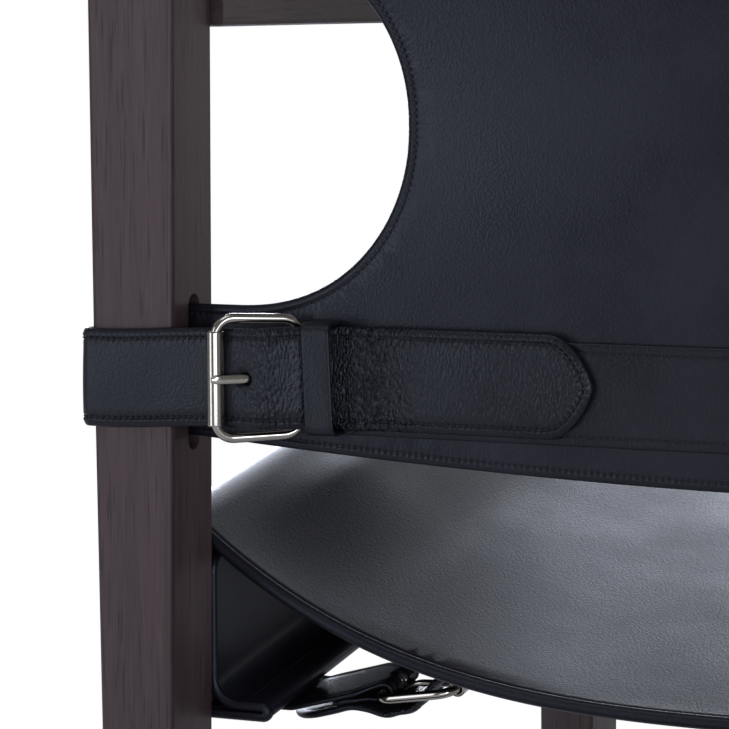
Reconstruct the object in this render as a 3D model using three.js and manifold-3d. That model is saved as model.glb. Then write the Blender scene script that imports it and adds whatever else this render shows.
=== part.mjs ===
// A leather sling lounge chair: a dark wooden frame with square slotted posts, a back panel and a
// seat sling of saddle leather, and straps that are drawn tight with roller buckles.
// Millimetres, +Z up, the sitter faces +Y and the sitter's right hand is +X.
import * as THREE from 'three';
import { mergeVertices } from 'three/addons/utils/BufferGeometryUtils.js';
import Module from 'manifold-3d';

const wasm = await Module();
wasm.setup();

// Clearances
const FIT = 0.3; // between seated pieces
const POST_GAP = 0.6; // between a strap and the post that it wraps
const RUN_FIT = 0.45; // between a turning piece and its bar

// Wooden frame
const INNER_WIDTH = 540; // clear width between the rear posts at the lower straps
const STRAP_HEIGHT = 390; // centre of the lower straps above the floor
const STRAP_RISE = 224; // from the lower straps to the upper straps
const POST_WIDTH = 41; // at the lower straps
const POST_DEPTH = 41; // at the lower straps
const POST_HEAD = 76; // post above the centre of the upper straps
const POST_TOP_WIDTH = 45.5;
const POST_TOP_DEPTH = 38.6;
const FOOT_WIDTH = 31;
const FOOT_DEPTH = 44;
const LEG_TOP_WIDTH = 41;
const LEG_DEPTH = 41;
const LEG_SPACING = 541; // rear post centre to front leg centre
const ARRIS = 2.5; // rounding of the long wooden edges
const ARRIS_STEPS = 3;
const EASE = 1.5; // chamfer at the ends of the posts
const SLOT_WIDTH = 11;
const SLOT_HEIGHT = 71;
const RAIL_WIDTH = 30;
const RAIL_HEIGHT = 84;
const RAIL_TILT = THREE.MathUtils.degToRad(9);
const SEAT_DROP = 70; // from the lower straps down to the leather on the rails at the rear
const RAIL_TENON_DEPTH = 18;
const RAIL_TENON_SHOULDER = 8;
const ARM_HEIGHT = 545; // underside of the armrests
const ARM_THICKNESS = 24;
const ARM_REAR_WIDTH = 54;
const ARM_FRONT_WIDTH = 92;
const ARM_OVERHANG = 24; // past the front legs
const ARM_CORNER = 26;
const ARM_EDGE = 3;
const ARM_CURVE = { leaves: 0.35, meets: 0.45, ends: 0.75 }; // shares of its length where it widens
const ARM_TENON_WIDTH = 22;
const ARM_TENON_HEIGHT = 14;
const ARM_TENON_DEPTH = 12;
const LEG_TENON_SIZE = 22;
const LEG_TENON_HEIGHT = 15;
const STRETCHER_LOW = 150; // underside of the stretchers
const STRETCHER_HEIGHT = 46;
const STRETCHER_THICKNESS = 22;
const STRETCHER_TENON_DEPTH = 15;
const STRETCHER_SHOULDER = 5;
const GLIDE_RADIUS = 11;
const GLIDE_HEIGHT = 4;
const GLIDE_NAIL_RADIUS = 1.6;
const GLIDE_NAIL_LENGTH = 14;
const GLIDE_EDGE = 1;
const GLIDE_NAIL_POINT = 2;

// Back panel of thick leather
const PANEL_THICKNESS = 4;
const WING_LOW = -29; // lower edge of a wing, from its strap's centre
const WING_HIGH = 31; // upper edge of a lower wing
const WING_CORNER = 5;
const WING_SETBACK = 3; // wing end to the outer face of the post
const PANEL_DROP = 13; // how far the lower edge falls towards the middle
const PANEL_DROP_POWER = 1.75;
const CUTOUT_START = 22; // where the wing starts to curve, from the post's inner face
const CUTOUT_REACH = 81.5; // from there to the deepest point of the cut-out
const CUTOUT_POWER = 2.2;

// Straps, band and buckles
const STRAP_WIDTH = 45;
const STRAP_THICKNESS = 3.4;
const STRAP_LIFT = 0.8; // strap centre above the slot's centre
const STRAP_BEND = 3.4; // radius of the strap's middle round the post
const STRAP_ROOT = 4; // lapped end of the strap inside the slot, from the inner face
const TIP_REACH = 195; // strap point from the post's inner face
const TIP_LENGTH = 23;
const TIP_FULLNESS = 0.62; // how far the point's sides keep the strap's width
const BAND_WIDTH = 45;
const BAND_THICKNESS = 2.2;
const BAND_LIFT = -2.4;
const BAND_NECK = 31; // width where the band folds round the heel bar
const NECK_LENGTH = 6;
const NECK_FLARE = 8;
const TURN_BACK = 27; // length of the folded end
// The folded end from its tip to the heel bar: shares of its length and of the rise over the bar.
const TURN_SHAPE = [[1, 0], [0.6, 0], [0.35, 0.34], [0.15, 0.85], [0, 1]];
const WIRE_DIAMETER = 4.5;
const BUCKLE_LENGTH = 39.5; // heel bar to toe bar
const HEEL_REACH = 57; // heel bar from the post's inner face
const TOE_HALF = 26.9; // half the toe bar, to the wire's centre
const HEEL_HALF = 25.6;
const TOE_CORNER = 5.5;
const HEEL_CORNER = 9;
const ROLLER_DIAMETER = 7.3;
const ROLLER_LENGTH = 42;
const PRONG_WIDTH = 4.5;
const PRONG_THICKNESS = 2.5;
const PRONG_WALL = 1.5; // wall of the eye round the heel bar
const PRONG_LIFT = THREE.MathUtils.degToRad(4); // play of a fastened prong
const PRONG_PLAY = 0.6; // round the prong in its hole
const PRONG_PAST = 0.5; // prong's end past the toe bar's middle
const HOLE_START = 12; // prong's hole from the heel bar
const KEEPER_WIDTH = 16.5;
const KEEPER_START = 5.5; // from the heel bar
const KEEPER_THICKNESS = 1.8;
const KEEPER_HALF = 26.2; // half the clear height
const KEEPER_CORNER = 4;
const KEEPER_RISE = 11.2; // inside of the bridge from the heel bar
const BILLET_CREST = 0.9; // bulge of the strap past the roller
const OVER_HEEL = 9; // strap's middle above the heel bar
// The strap from the roller to the heel bar: shares of the way to the roller, of the bulge and of the rise.
const BACK_CREST = [[0.64, 1, 0], [0.42, 0.3, 0], [0.19, 0, 0.5]];
const SEAT_CREST = [[0.76, 1, 0], [0.56, 0, 0.55], [0.36, 0, 1], [0.15, 0, 1]];
// The strap past the heel bar: along the folded end, and between which levels it lies.
const SETTLE_SHAPE = [
  [0.3, 'heel', 'turn', 0.6], [0.6, 'heel', 'turn', 1], [1, 'heel', 'turn', 1],
  [1.5, 'turn', 'band', 0.9], [1.9, 'turn', 'band', 1],
];

// Seat sling and its straps underneath
const SLING_THICKNESS = 4;
const SLING_GAP = 2; // sling ends from the posts and legs
const SAG_DEPTH = 70;
const SAG_ANGLE = THREE.MathUtils.degToRad(38); // where the sling leaves the rail
const FLAP_REACH = 42; // fold of the hem from the rail's middle, towards the chair's middle
const HEM_GAP = 0.8; // between the two layers of the hem
const HEM_STEPS = 8;
const LINING_DROP = 17; // end of the turned-back leather below the top of the sling
const LINING_BEND = 12; // where the turned-back leather rises along the rail
const SEAT_STRAP_INSET = 32.5; // strap centre from the posts and legs, along the rails
const SEAT_TAB_TILT = THREE.MathUtils.degToRad(16);
const SEAT_TAB_SEWN = 26; // tab length sewn under the flap
const SEAT_TAB_FREE = 46; // from the bend at the hem to the heel bar
const SEAT_TAB_BEND = 8;
const SEAT_TOE_DROP = 4.1; // toe bar below the heel bar
const SEAT_TIP = 56; // strap point from the heel bar
const SEAT_CATCH = 90; // where the strap meets the sling, from the chair's middle

// Sizes that follow from the ones above
const HALF = INNER_WIDTH / 2;
const POST_TOP = STRAP_HEIGHT + STRAP_RISE + POST_HEAD;
const POST_X = -(INNER_WIDTH + POST_WIDTH) / 2;
const WIRE = WIRE_DIAMETER / 2;
const ROLLER = ROLLER_DIAMETER / 2;
const PRONG_LENGTH = BUCKLE_LENGTH + PRONG_PAST;
const FOLD = WIRE + FIT + BAND_THICKNESS / 2;
const TURN_LEVEL = FOLD - BAND_THICKNESS - FIT;
const HEEL_Y = -(BAND_THICKNESS + FIT + WIRE);
const HEEL_X = HEEL_REACH - HALF;
const STRAP_STEP = FIT + STRAP_THICKNESS / 2;
const ON_TURN = TURN_LEVEL - BAND_THICKNESS / 2 - STRAP_STEP;
const ON_BAND = FOLD - BAND_THICKNESS / 2 - STRAP_STEP;
const LEVELS = { heel: -OVER_HEEL, turn: ON_TURN, band: ON_BAND };
const SEAT_TOP = STRAP_HEIGHT - SEAT_DROP;

const WOOD = { color: 0x3d3330, roughness: 0.55, metalness: 0 };
const LEATHER = { color: 0x1e1e22, roughness: 0.42, metalness: 0 };
const NICKEL = { color: 0xb9b7b2, roughness: 0.22, metalness: 1 };
const FELT = { color: 0x2a2725, roughness: 0.95, metalness: 0 };

const v2 = (x, y) => new THREE.Vector2(x, y);
const v3 = (x, y, z) => new THREE.Vector3(x, y, z);
const lerp = THREE.MathUtils.lerp;

// Solids

function solid(geometry) {
  const bare = geometry.clone();
  bare.deleteAttribute('normal');
  bare.deleteAttribute('uv');
  const merged = mergeVertices(bare, 1e-4);
  return new wasm.Manifold(new wasm.Mesh({
    numProp: 3,
    vertProperties: new Float32Array(merged.attributes.position.array),
    triVerts: new Uint32Array(merged.index.array),
  }));
}

function geometryOf(body) {
  const mesh = body.getMesh();
  const geometry = new THREE.BufferGeometry();
  geometry.setAttribute('position', new THREE.BufferAttribute(new Float32Array(mesh.vertProperties), 3));
  geometry.setIndex(new THREE.BufferAttribute(new Uint32Array(mesh.triVerts), 1));
  geometry.computeVertexNormals();
  return geometry;
}

const cut = (geometry, ...tools) =>
  geometryOf(tools.reduce((body, tool) => body.subtract(solid(tool)), solid(geometry)));
const join = (geometry, ...others) =>
  geometryOf(others.reduce((body, other) => body.add(solid(other)), solid(geometry)));
const keep = (geometry, limit) => geometryOf(solid(geometry).intersect(solid(limit)));

function box(low, high) {
  const size = high.clone().sub(low);
  const middle = low.clone().add(high).multiplyScalar(0.5);
  return new THREE.BoxGeometry(size.x, size.y, size.z).translate(middle.x, middle.y, middle.z);
}

// An outline in the XY plane, drawn out along Z from `from` to `to`.
function upright(shape, from, to, curveSegments = 12) {
  const geometry = new THREE.ExtrudeGeometry(shape, { depth: to - from, bevelEnabled: false, curveSegments });
  return geometry.translate(0, 0, from);
}

// An outline in the XZ plane, drawn out along Y from `from` to `to`.
function across(shape, from, to, curveSegments = 12) {
  return upright(shape, -to, -from, curveSegments).rotateX(Math.PI / 2);
}

// Rings of points joined into one closed body, with flat ends or as a closed loop.
function loft(rings, loop = false) {
  const sides = rings[0].length;
  const positions = rings.flat().flatMap((point) => [point.x, point.y, point.z]);
  const index = [];
  const spans = loop ? rings.length : rings.length - 1;
  for (let ring = 0; ring < spans; ring += 1) {
    const next = (ring + 1) % rings.length;
    for (let side = 0; side < sides; side += 1) {
      const a = ring * sides + side;
      const b = ring * sides + (side + 1) % sides;
      const c = next * sides + (side + 1) % sides;
      const d = next * sides + side;
      index.push(a, b, c, a, c, d);
    }
  }
  if (!loop) {
    const last = (rings.length - 1) * sides;
    for (let side = 1; side < sides - 1; side += 1) {
      index.push(0, side + 1, side);
      index.push(last, last + side, last + side + 1);
    }
  }
  const geometry = new THREE.BufferGeometry();
  geometry.setAttribute('position', new THREE.Float32BufferAttribute(positions, 3));
  geometry.setIndex(index);
  geometry.computeVertexNormals();
  return geometry;
}

// Corner points [x, y, radius] joined by straight runs and round bends.
function rounded(corners, steps = 4) {
  const line = [];
  corners.forEach(([x, y, radius], i) => {
    const corner = v2(x, y);
    if (!radius) {
      line.push(corner);
      return;
    }
    const before = v2(...corners[i - 1]).sub(corner).normalize();
    const after = v2(...corners[i + 1]).sub(corner).normalize();
    const half = Math.acos(THREE.MathUtils.clamp(before.dot(after), -1, 1)) / 2;
    const centre = before.clone().add(after).normalize().multiplyScalar(radius / Math.sin(half)).add(corner);
    const start = before.multiplyScalar(radius / Math.tan(half)).add(corner).sub(centre);
    const turn = (Math.PI - 2 * half) * Math.sign(start.cross(corner.clone().sub(centre)));
    for (let step = 0; step <= steps; step += 1) {
      line.push(start.clone().rotateAround(v2(0, 0), turn * step / steps).add(centre));
    }
  });
  return line;
}

// A smooth line through points that may be spaced unevenly.
function smooth(points, count) {
  const curve = new THREE.CatmullRomCurve3(points.map((point) => v3(point.x, point.y, 0)), false, 'centripetal');
  return curve.getSpacedPoints(count).map((point) => v2(point.x, point.y));
}

// The outline of a band of leather seen on edge, from its middle line.
function ribbon(line, thickness) {
  const near = [];
  const far = [];
  line.forEach((point, i) => {
    const before = line[Math.max(i - 1, 0)];
    const after = line[Math.min(i + 1, line.length - 1)];
    const along = after.clone().sub(before).normalize();
    const side = v2(-along.y, along.x).multiplyScalar(thickness / 2);
    near.push(point.clone().add(side));
    far.unshift(point.clone().sub(side));
  });
  return new THREE.Shape([...near, ...far]);
}

// Wooden frame, left side

function sectionAt(z, levels) {
  const upper = levels.findIndex((level, i) => i > 0 && z <= level.z);
  const b = levels[upper < 0 ? levels.length - 1 : upper];
  const a = levels[(upper < 0 ? levels.length - 1 : upper) - 1];
  const t = (z - a.z) / (b.z - a.z);
  return { width: lerp(a.width, b.width, t), depth: lerp(a.depth, b.depth, t) };
}

const POST_LEVELS = [
  { z: GLIDE_HEIGHT, width: FOOT_WIDTH, depth: FOOT_DEPTH },
  { z: STRAP_HEIGHT, width: POST_WIDTH, depth: POST_DEPTH },
  { z: POST_TOP, width: POST_TOP_WIDTH, depth: POST_TOP_DEPTH },
];
const LEG_LEVELS = [
  { z: GLIDE_HEIGHT, width: FOOT_WIDTH, depth: FOOT_DEPTH },
  { z: ARM_HEIGHT - FIT, width: LEG_TOP_WIDTH, depth: LEG_DEPTH },
];

function sectionRing(z, { width, depth }, inset, centreY) {
  const ring = [];
  [[1, 1], [-1, 1], [-1, -1], [1, -1]].forEach(([signX, signY], corner) => {
    const x = signX * (width / 2 - inset - ARRIS);
    const y = signY * (depth / 2 - inset - ARRIS);
    for (let step = 0; step <= ARRIS_STEPS; step += 1) {
      const angle = (corner + step / ARRIS_STEPS) * Math.PI / 2;
      ring.push(v3(POST_X + x + ARRIS * Math.cos(angle), centreY + y + ARRIS * Math.sin(angle), z));
    }
  });
  return ring;
}

function taperedPost(levels, centreY) {
  const bottom = levels[0];
  const top = levels[levels.length - 1];
  const rings = [sectionRing(bottom.z, bottom, EASE, centreY)];
  rings.push(sectionRing(bottom.z + EASE, sectionAt(bottom.z + EASE, levels), 0, centreY));
  levels.slice(1, -1).forEach((level) => rings.push(sectionRing(level.z, level, 0, centreY)));
  rings.push(sectionRing(top.z - EASE, sectionAt(top.z - EASE, levels), 0, centreY));
  rings.push(sectionRing(top.z, top, EASE, centreY));
  return loft(rings);
}

const SLOT_Y = (FIT + PANEL_THICKNESS - STRAP_THICKNESS) / 2;

function slotCutter(centreZ) {
  const shape = new THREE.Shape();
  const reach = (SLOT_HEIGHT - SLOT_WIDTH) / 2;
  shape.absarc(SLOT_Y, reach, SLOT_WIDTH / 2, 0, Math.PI);
  shape.absarc(SLOT_Y, -reach, SLOT_WIDTH / 2, Math.PI, 2 * Math.PI);
  const length = 2 * POST_TOP_WIDTH + 2 * POST_WIDTH;
  const cutter = upright(shape, -length / 2, length / 2, 8);
  // outline x -> Y, outline y -> Z, depth -> X
  cutter.applyMatrix4(new THREE.Matrix4().makeBasis(v3(0, 1, 0), v3(0, 0, 1), v3(1, 0, 0)));
  return cutter.translate(POST_X, 0, centreZ);
}

function glideHole(centreY) {
  const depth = GLIDE_NAIL_LENGTH + FIT;
  return new THREE.CylinderGeometry(GLIDE_NAIL_RADIUS + FIT, GLIDE_NAIL_RADIUS + FIT, 2 * depth, 12)
    .rotateX(Math.PI / 2).translate(POST_X, centreY, GLIDE_HEIGHT);
}

function footGlide(centreY) {
  const profile = [
    v2(0, 0), v2(GLIDE_RADIUS - GLIDE_EDGE, 0), v2(GLIDE_RADIUS, GLIDE_EDGE), v2(GLIDE_RADIUS, GLIDE_HEIGHT - FIT),
    v2(GLIDE_NAIL_RADIUS, GLIDE_HEIGHT - FIT),
    v2(GLIDE_NAIL_RADIUS, GLIDE_HEIGHT + GLIDE_NAIL_LENGTH - GLIDE_NAIL_POINT),
    v2(0, GLIDE_HEIGHT + GLIDE_NAIL_LENGTH - FIT),
  ];
  return new THREE.LatheGeometry(profile, 12).rotateX(Math.PI / 2).translate(POST_X, centreY, 0);
}

// The rails rise towards the front, so they and the sling are drawn in a tilted frame whose origin lies
// on top of the leather where it starts at the rear post.
const POST_FRONT = sectionAt(SEAT_TOP - RAIL_HEIGHT - SLING_THICKNESS, POST_LEVELS).depth / 2;
const LEG_BACK = LEG_SPACING - FOOT_DEPTH / 2;
const RAIL_TOP = -(SLING_THICKNESS + FIT);
const toTilted = new THREE.Matrix4().makeRotationX(RAIL_TILT).setPosition(0, POST_FRONT, SEAT_TOP);

function railOutline() {
  const half = RAIL_WIDTH / 2;
  const shape = new THREE.Shape();
  shape.absarc(POST_X, RAIL_TOP - half, half, 0, Math.PI);
  shape.lineTo(POST_X - half, RAIL_TOP - RAIL_HEIGHT + ARRIS);
  shape.lineTo(POST_X - half + ARRIS, RAIL_TOP - RAIL_HEIGHT);
  shape.lineTo(POST_X + half - ARRIS, RAIL_TOP - RAIL_HEIGHT);
  shape.lineTo(POST_X + half, RAIL_TOP - RAIL_HEIGHT + ARRIS);
  return shape;
}

const RAIL_REACH = 2 * LEG_SPACING;

function betweenPosts(reach) {
  const wide = INNER_WIDTH + 4 * POST_WIDTH;
  return box(v3(-wide, POST_FRONT - reach, 0), v3(0, LEG_BACK + reach, POST_TOP));
}

function railTenon(grow) {
  const half = RAIL_WIDTH / 2 - RAIL_TENON_SHOULDER + grow;
  const low = RAIL_TOP - RAIL_HEIGHT + RAIL_TENON_SHOULDER - grow;
  const high = RAIL_TOP - RAIL_TENON_SHOULDER + grow;
  const bar = box(v3(POST_X - half, -RAIL_REACH, low), v3(POST_X + half, RAIL_REACH, high));
  return keep(bar.applyMatrix4(toTilted), betweenPosts(RAIL_TENON_DEPTH + grow));
}

function seatRail() {
  const bar = across(railOutline(), -RAIL_REACH, RAIL_REACH, 14).applyMatrix4(toTilted);
  return join(keep(bar, betweenPosts(-FIT)), railTenon(0));
}

const ARM_START = sectionAt(ARM_HEIGHT, POST_LEVELS).depth / 2 + FIT;
const ARM_MIDDLE = ARM_HEIGHT + ARM_THICKNESS / 2;

function armTenon(grow) {
  return box(
    v3(POST_X - ARM_TENON_WIDTH / 2 - grow, ARM_START - ARM_TENON_DEPTH - grow,
      ARM_MIDDLE - ARM_TENON_HEIGHT / 2 - grow),
    v3(POST_X + ARM_TENON_WIDTH / 2 + grow, ARM_START + ARM_TENON_DEPTH,
      ARM_MIDDLE + ARM_TENON_HEIGHT / 2 + grow),
  );
}

function legTenon(grow) {
  const half = LEG_TENON_SIZE / 2 + grow;
  return box(
    v3(POST_X - half, LEG_SPACING - half, ARM_HEIGHT - EASE - LEG_TENON_HEIGHT),
    v3(POST_X + half, LEG_SPACING + half, ARM_HEIGHT + LEG_TENON_HEIGHT + grow),
  );
}

function armrest() {
  const rear = ARM_REAR_WIDTH / 2;
  const front = ARM_FRONT_WIDTH / 2;
  const end = LEG_SPACING + LEG_DEPTH / 2 + ARM_OVERHANG;
  const shape = new THREE.Shape();
  shape.moveTo(POST_X - rear, ARM_START);
  shape.lineTo(POST_X + rear, ARM_START);
  const leaves = lerp(ARM_START, end, ARM_CURVE.leaves);
  const meets = lerp(ARM_START, end, ARM_CURVE.meets);
  const ends = lerp(ARM_START, end, ARM_CURVE.ends);
  shape.bezierCurveTo(POST_X + rear, leaves, POST_X + front, meets, POST_X + front, ends);
  shape.lineTo(POST_X + front, end - ARM_CORNER);
  shape.absarc(POST_X + front - ARM_CORNER, end - ARM_CORNER, ARM_CORNER, 0, Math.PI / 2);
  shape.absarc(POST_X - front + ARM_CORNER, end - ARM_CORNER, ARM_CORNER, Math.PI / 2, Math.PI);
  shape.lineTo(POST_X - front, ends);
  shape.bezierCurveTo(POST_X - front, meets, POST_X - rear, leaves, POST_X - rear, ARM_START);
  const board = new THREE.ExtrudeGeometry(shape, {
    depth: ARM_THICKNESS - 2 * ARM_EDGE,
    bevelThickness: ARM_EDGE,
    bevelSize: ARM_EDGE,
    bevelOffset: -ARM_EDGE,
    bevelSegments: 2,
    curveSegments: 5,
  }).translate(0, 0, ARM_HEIGHT + ARM_EDGE);
  return join(cut(board, legTenon(FIT)), armTenon(0));
}

const STRETCHER_TOP = STRETCHER_LOW + STRETCHER_HEIGHT;

function stretcher(levels, centreY, inset, grow) {
  const face = POST_X + sectionAt(STRETCHER_TOP, levels).width / 2 + FIT;
  const end = inset ? face - STRETCHER_TENON_DEPTH - grow : face;
  const half = STRETCHER_THICKNESS / 2 - inset + grow;
  return box(
    v3(end, centreY - half, STRETCHER_LOW + inset - grow),
    v3(-end, centreY + half, STRETCHER_TOP - inset + grow),
  );
}

const wholeStretcher = (levels, centreY) =>
  join(stretcher(levels, centreY, 0, 0), stretcher(levels, centreY, STRETCHER_SHOULDER, 0));
const stretcherSocket = (levels, centreY) => stretcher(levels, centreY, STRETCHER_SHOULDER, FIT);

function rearPost() {
  return cut(
    taperedPost(POST_LEVELS, 0),
    slotCutter(STRAP_HEIGHT),
    slotCutter(STRAP_HEIGHT + STRAP_RISE),
    railTenon(FIT),
    armTenon(FIT),
    stretcherSocket(POST_LEVELS, 0),
    glideHole(0),
  );
}

function frontLeg() {
  const leg = cut(
    taperedPost(LEG_LEVELS, LEG_SPACING),
    railTenon(FIT),
    stretcherSocket(LEG_LEVELS, LEG_SPACING),
    glideHole(LEG_SPACING),
  );
  return join(leg, legTenon(0));
}

// Back panel: an outline that is the same left and right, and above and below its middle.

function panelHalf() {
  const line = [];
  const edgeSteps = 10;
  for (let step = 0; step < edgeSteps; step += 1) {
    const reach = HALF * (1 - step / edgeSteps);
    const fall = PANEL_DROP * (1 - (1 - reach / HALF) ** PANEL_DROP_POWER);
    line.push(v2(reach - HALF, WING_LOW - fall));
  }
  const end = -HALF - POST_WIDTH + WING_SETBACK;
  line.push(...rounded([
    [-HALF, WING_LOW], [end, WING_LOW, WING_CORNER], [end, WING_HIGH, WING_CORNER], [-HALF, WING_HIGH],
  ], 3));
  const arcSteps = 24;
  const rise = STRAP_RISE / 2 - WING_HIGH;
  for (let step = 0; step <= arcSteps / 2; step += 1) {
    const angle = Math.PI * (step / arcSteps - 0.5);
    const out = CUTOUT_REACH * Math.cos(angle) ** (2 / CUTOUT_POWER);
    const up = rise * Math.abs(Math.sin(angle)) ** (2 / CUTOUT_POWER);
    line.push(v2(CUTOUT_START + out - HALF, STRAP_RISE / 2 - up));
  }
  return line;
}

function backPanel() {
  const lower = panelHalf();
  const upper = lower.slice(0, -1).reverse().map((point) => v2(point.x, STRAP_RISE - point.y));
  const left = [...lower, ...upper];
  const right = left.slice(1, -1).reverse().map((point) => v2(-point.x, point.y));
  const shape = new THREE.Shape([...left, ...right]);
  return across(shape, FIT, FIT + PANEL_THICKNESS).translate(0, 0, STRAP_HEIGHT);
}

// Buckles. Their own frame has its origin on the heel bar: u runs from the heel bar along the folded
// band, n points from the buckle to the leather that it lies on, and w runs along the bars.

function buckleFrame(toe) {
  const away = v2(-toe.x, -toe.y).normalize();
  const corners = [
    [0, 0], [0, HEEL_HALF, HEEL_CORNER], [-BUCKLE_LENGTH, TOE_HALF, TOE_CORNER],
    [-BUCKLE_LENGTH, -TOE_HALF, TOE_CORNER], [0, -HEEL_HALF, HEEL_CORNER], [0, 0],
  ];
  const line = rounded(corners, 3).slice(0, -1);
  const along = v3(away.x, away.y, 0);
  const bars = v3(0, 0, 1);
  const out = bars.clone().cross(along);
  const sides = 8;
  const rings = line.map((point, i) => {
    const before = line[(i + line.length - 1) % line.length];
    const after = line[(i + 1) % line.length];
    const heading = after.clone().sub(before).normalize();
    const side = along.clone().multiplyScalar(heading.y).addScaledVector(bars, -heading.x);
    const centre = along.clone().multiplyScalar(point.x).addScaledVector(bars, point.y);
    return Array.from({ length: sides }, (_, k) => {
      const angle = 2 * Math.PI * k / sides;
      return centre.clone().addScaledVector(side, WIRE * Math.cos(angle))
        .addScaledVector(out, WIRE * Math.sin(angle));
    });
  });
  return loft(rings, true);
}

function buckleRoller(toe) {
  const bore = WIRE + RUN_FIT;
  const half = ROLLER_LENGTH / 2;
  const profile = [v2(bore, -half), v2(ROLLER, -half), v2(ROLLER, half), v2(bore, half), v2(bore, -half)];
  return new THREE.LatheGeometry(profile, 12).rotateX(Math.PI / 2).translate(toe.x, toe.y, 0);
}

// The prong's straight bar lies on the roller and points from the heel bar past the toe bar's middle.
function prongLine(toe, lift) {
  const rest = Math.asin((ROLLER + FIT + PRONG_THICKNESS / 2) / BUCKLE_LENGTH);
  return v2(toe.x, toe.y).normalize().rotateAround(v2(0, 0), rest + lift);
}

function prongBar(toe, lift, grow, from, to) {
  const along = prongLine(toe, lift);
  const side = v2(-along.y, along.x).multiplyScalar(PRONG_THICKNESS / 2 + grow);
  const start = along.clone().multiplyScalar(from);
  const end = along.clone().multiplyScalar(to);
  const shape = new THREE.Shape([
    start.clone().add(side), start.clone().sub(side), end.clone().sub(side), end.clone().add(side),
  ]);
  return upright(shape, -PRONG_WIDTH / 2 - grow, PRONG_WIDTH / 2 + grow);
}

function buckleProng(toe) {
  const bore = WIRE + RUN_FIT;
  const disc = (radius, height) => new THREE.CylinderGeometry(radius, radius, height, 12).rotateX(Math.PI / 2);
  const eye = disc(bore + PRONG_WALL, PRONG_WIDTH);
  const bar = prongBar(toe, 0, 0, bore + PRONG_WALL / 2, PRONG_LENGTH);
  return cut(join(eye, bar), disc(bore, 2 * PRONG_WIDTH));
}

// The hole that a fastened prong needs in the strap, over the whole of its play.
function prongHole(toe) {
  const bars = [0, 0.5, 1].map((share) =>
    prongBar(toe, PRONG_LIFT * share, PRONG_PLAY, HOLE_START, PRONG_LENGTH + PRONG_PLAY));
  return join(...bars);
}

// Middle line of a band's end, from the tip of its turn-back round the heel bar.
function foldLine() {
  const turn = TURN_SHAPE.map(([along, rise]) => v2(TURN_BACK * along, lerp(TURN_LEVEL, -FOLD, rise)));
  const steps = 6;
  const round = Array.from({ length: steps }, (_, step) => {
    const angle = -Math.PI / 2 - Math.PI * (step + 1) / steps;
    return v2(FOLD * Math.cos(angle), FOLD * Math.sin(angle));
  });
  return [...smooth(turn, 8), ...round];
}

const prongGap = () => {
  const half = PRONG_WIDTH / 2 + PRONG_PLAY;
  const reach = FOLD + BAND_THICKNESS;
  const open = WIRE + RUN_FIT + PRONG_WALL + PRONG_PLAY;
  return box(v3(-reach, -2 * reach, -half), v3(open, 2 * reach, half));
};

// Strap middle line from the roller over the heel bar to the point, in the buckle's frame.
function billetLine(toe, tipReach, crest) {
  const under = toe.y + ROLLER + STRAP_STEP;
  const rise = ([along, bulge, share]) =>
    v2(toe.x * along, lerp(under, -OVER_HEEL, share) - BILLET_CREST * bulge);
  return [
    v2(toe.x, under),
    ...crest.map(rise),
    v2(0, -OVER_HEEL),
    ...SETTLE_SHAPE.map(([along, from, to, share]) =>
      v2(TURN_BACK * along, lerp(LEVELS[from], LEVELS[to], share))),
    v2(tipReach, ON_BAND),
  ];
}

// A strap seen flat, `start` to `tip`, with a pointed end; `direction` is the way that it points.
function pointedOutline(start, tip, direction) {
  const half = STRAP_WIDTH / 2;
  const shoulder = tip - direction * TIP_LENGTH;
  const shape = new THREE.Shape();
  shape.moveTo(start, -half);
  shape.lineTo(shoulder, -half);
  shape.quadraticCurveTo(shoulder + direction * TIP_LENGTH * TIP_FULLNESS, -half, tip, 0);
  shape.quadraticCurveTo(shoulder + direction * TIP_LENGTH * TIP_FULLNESS, half, shoulder, half);
  shape.lineTo(start, half);
  return shape;
}

function backStrap(centreZ, toe) {
  const low = sectionAt(centreZ - STRAP_WIDTH / 2, POST_LEVELS);
  const high = sectionAt(centreZ + STRAP_WIDTH / 2, POST_LEVELS);
  const step = POST_GAP + STRAP_THICKNESS / 2;
  const outer = POST_X - Math.max(low.width, high.width) / 2 - step;
  const inner = POST_X + Math.min(low.width, high.width) / 2;
  const rootY = -STRAP_THICKNESS / 2;
  const rear = HEEL_Y + toe.y + ROLLER + STRAP_STEP;
  const round = rounded([
    [inner - STRAP_ROOT, rootY], [outer, rootY, STRAP_BEND], [outer, rear, STRAP_BEND], [POST_X, rear],
  ]);
  const tip = TIP_REACH - HEEL_REACH;
  const billet = billetLine(toe, tip, BACK_CREST).map((point) => v2(point.x + HEEL_X, point.y + HEEL_Y));
  const line = [...round, ...smooth([v2(inner, rear), ...billet], 36)];
  const z = centreZ + STRAP_LIFT;
  const strap = upright(ribbon(line, STRAP_THICKNESS), z - STRAP_WIDTH / 2, z + STRAP_WIDTH / 2);
  const outline = pointedOutline(outer - STRAP_WIDTH, TIP_REACH - HALF, 1);
  const limit = across(outline, -4 * POST_DEPTH, POST_DEPTH, 8).translate(0, 0, z);
  return cut(keep(strap, limit), prongHole(toe).translate(HEEL_X, HEEL_Y, z));
}

const rearAt = (centreZ) => Math.max(
  sectionAt(centreZ - STRAP_WIDTH / 2, POST_LEVELS).depth,
  sectionAt(centreZ + STRAP_WIDTH / 2, POST_LEVELS).depth,
) / 2;

// Toe bar in the buckle's frame: the roller lies on the strap that comes round the post's rear face.
function backToe(centreZ) {
  const level = -rearAt(centreZ) - POST_GAP - STRAP_THICKNESS - FIT - ROLLER - HEEL_Y;
  return v2(-Math.sqrt(BUCKLE_LENGTH ** 2 - level ** 2), level);
}

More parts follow.
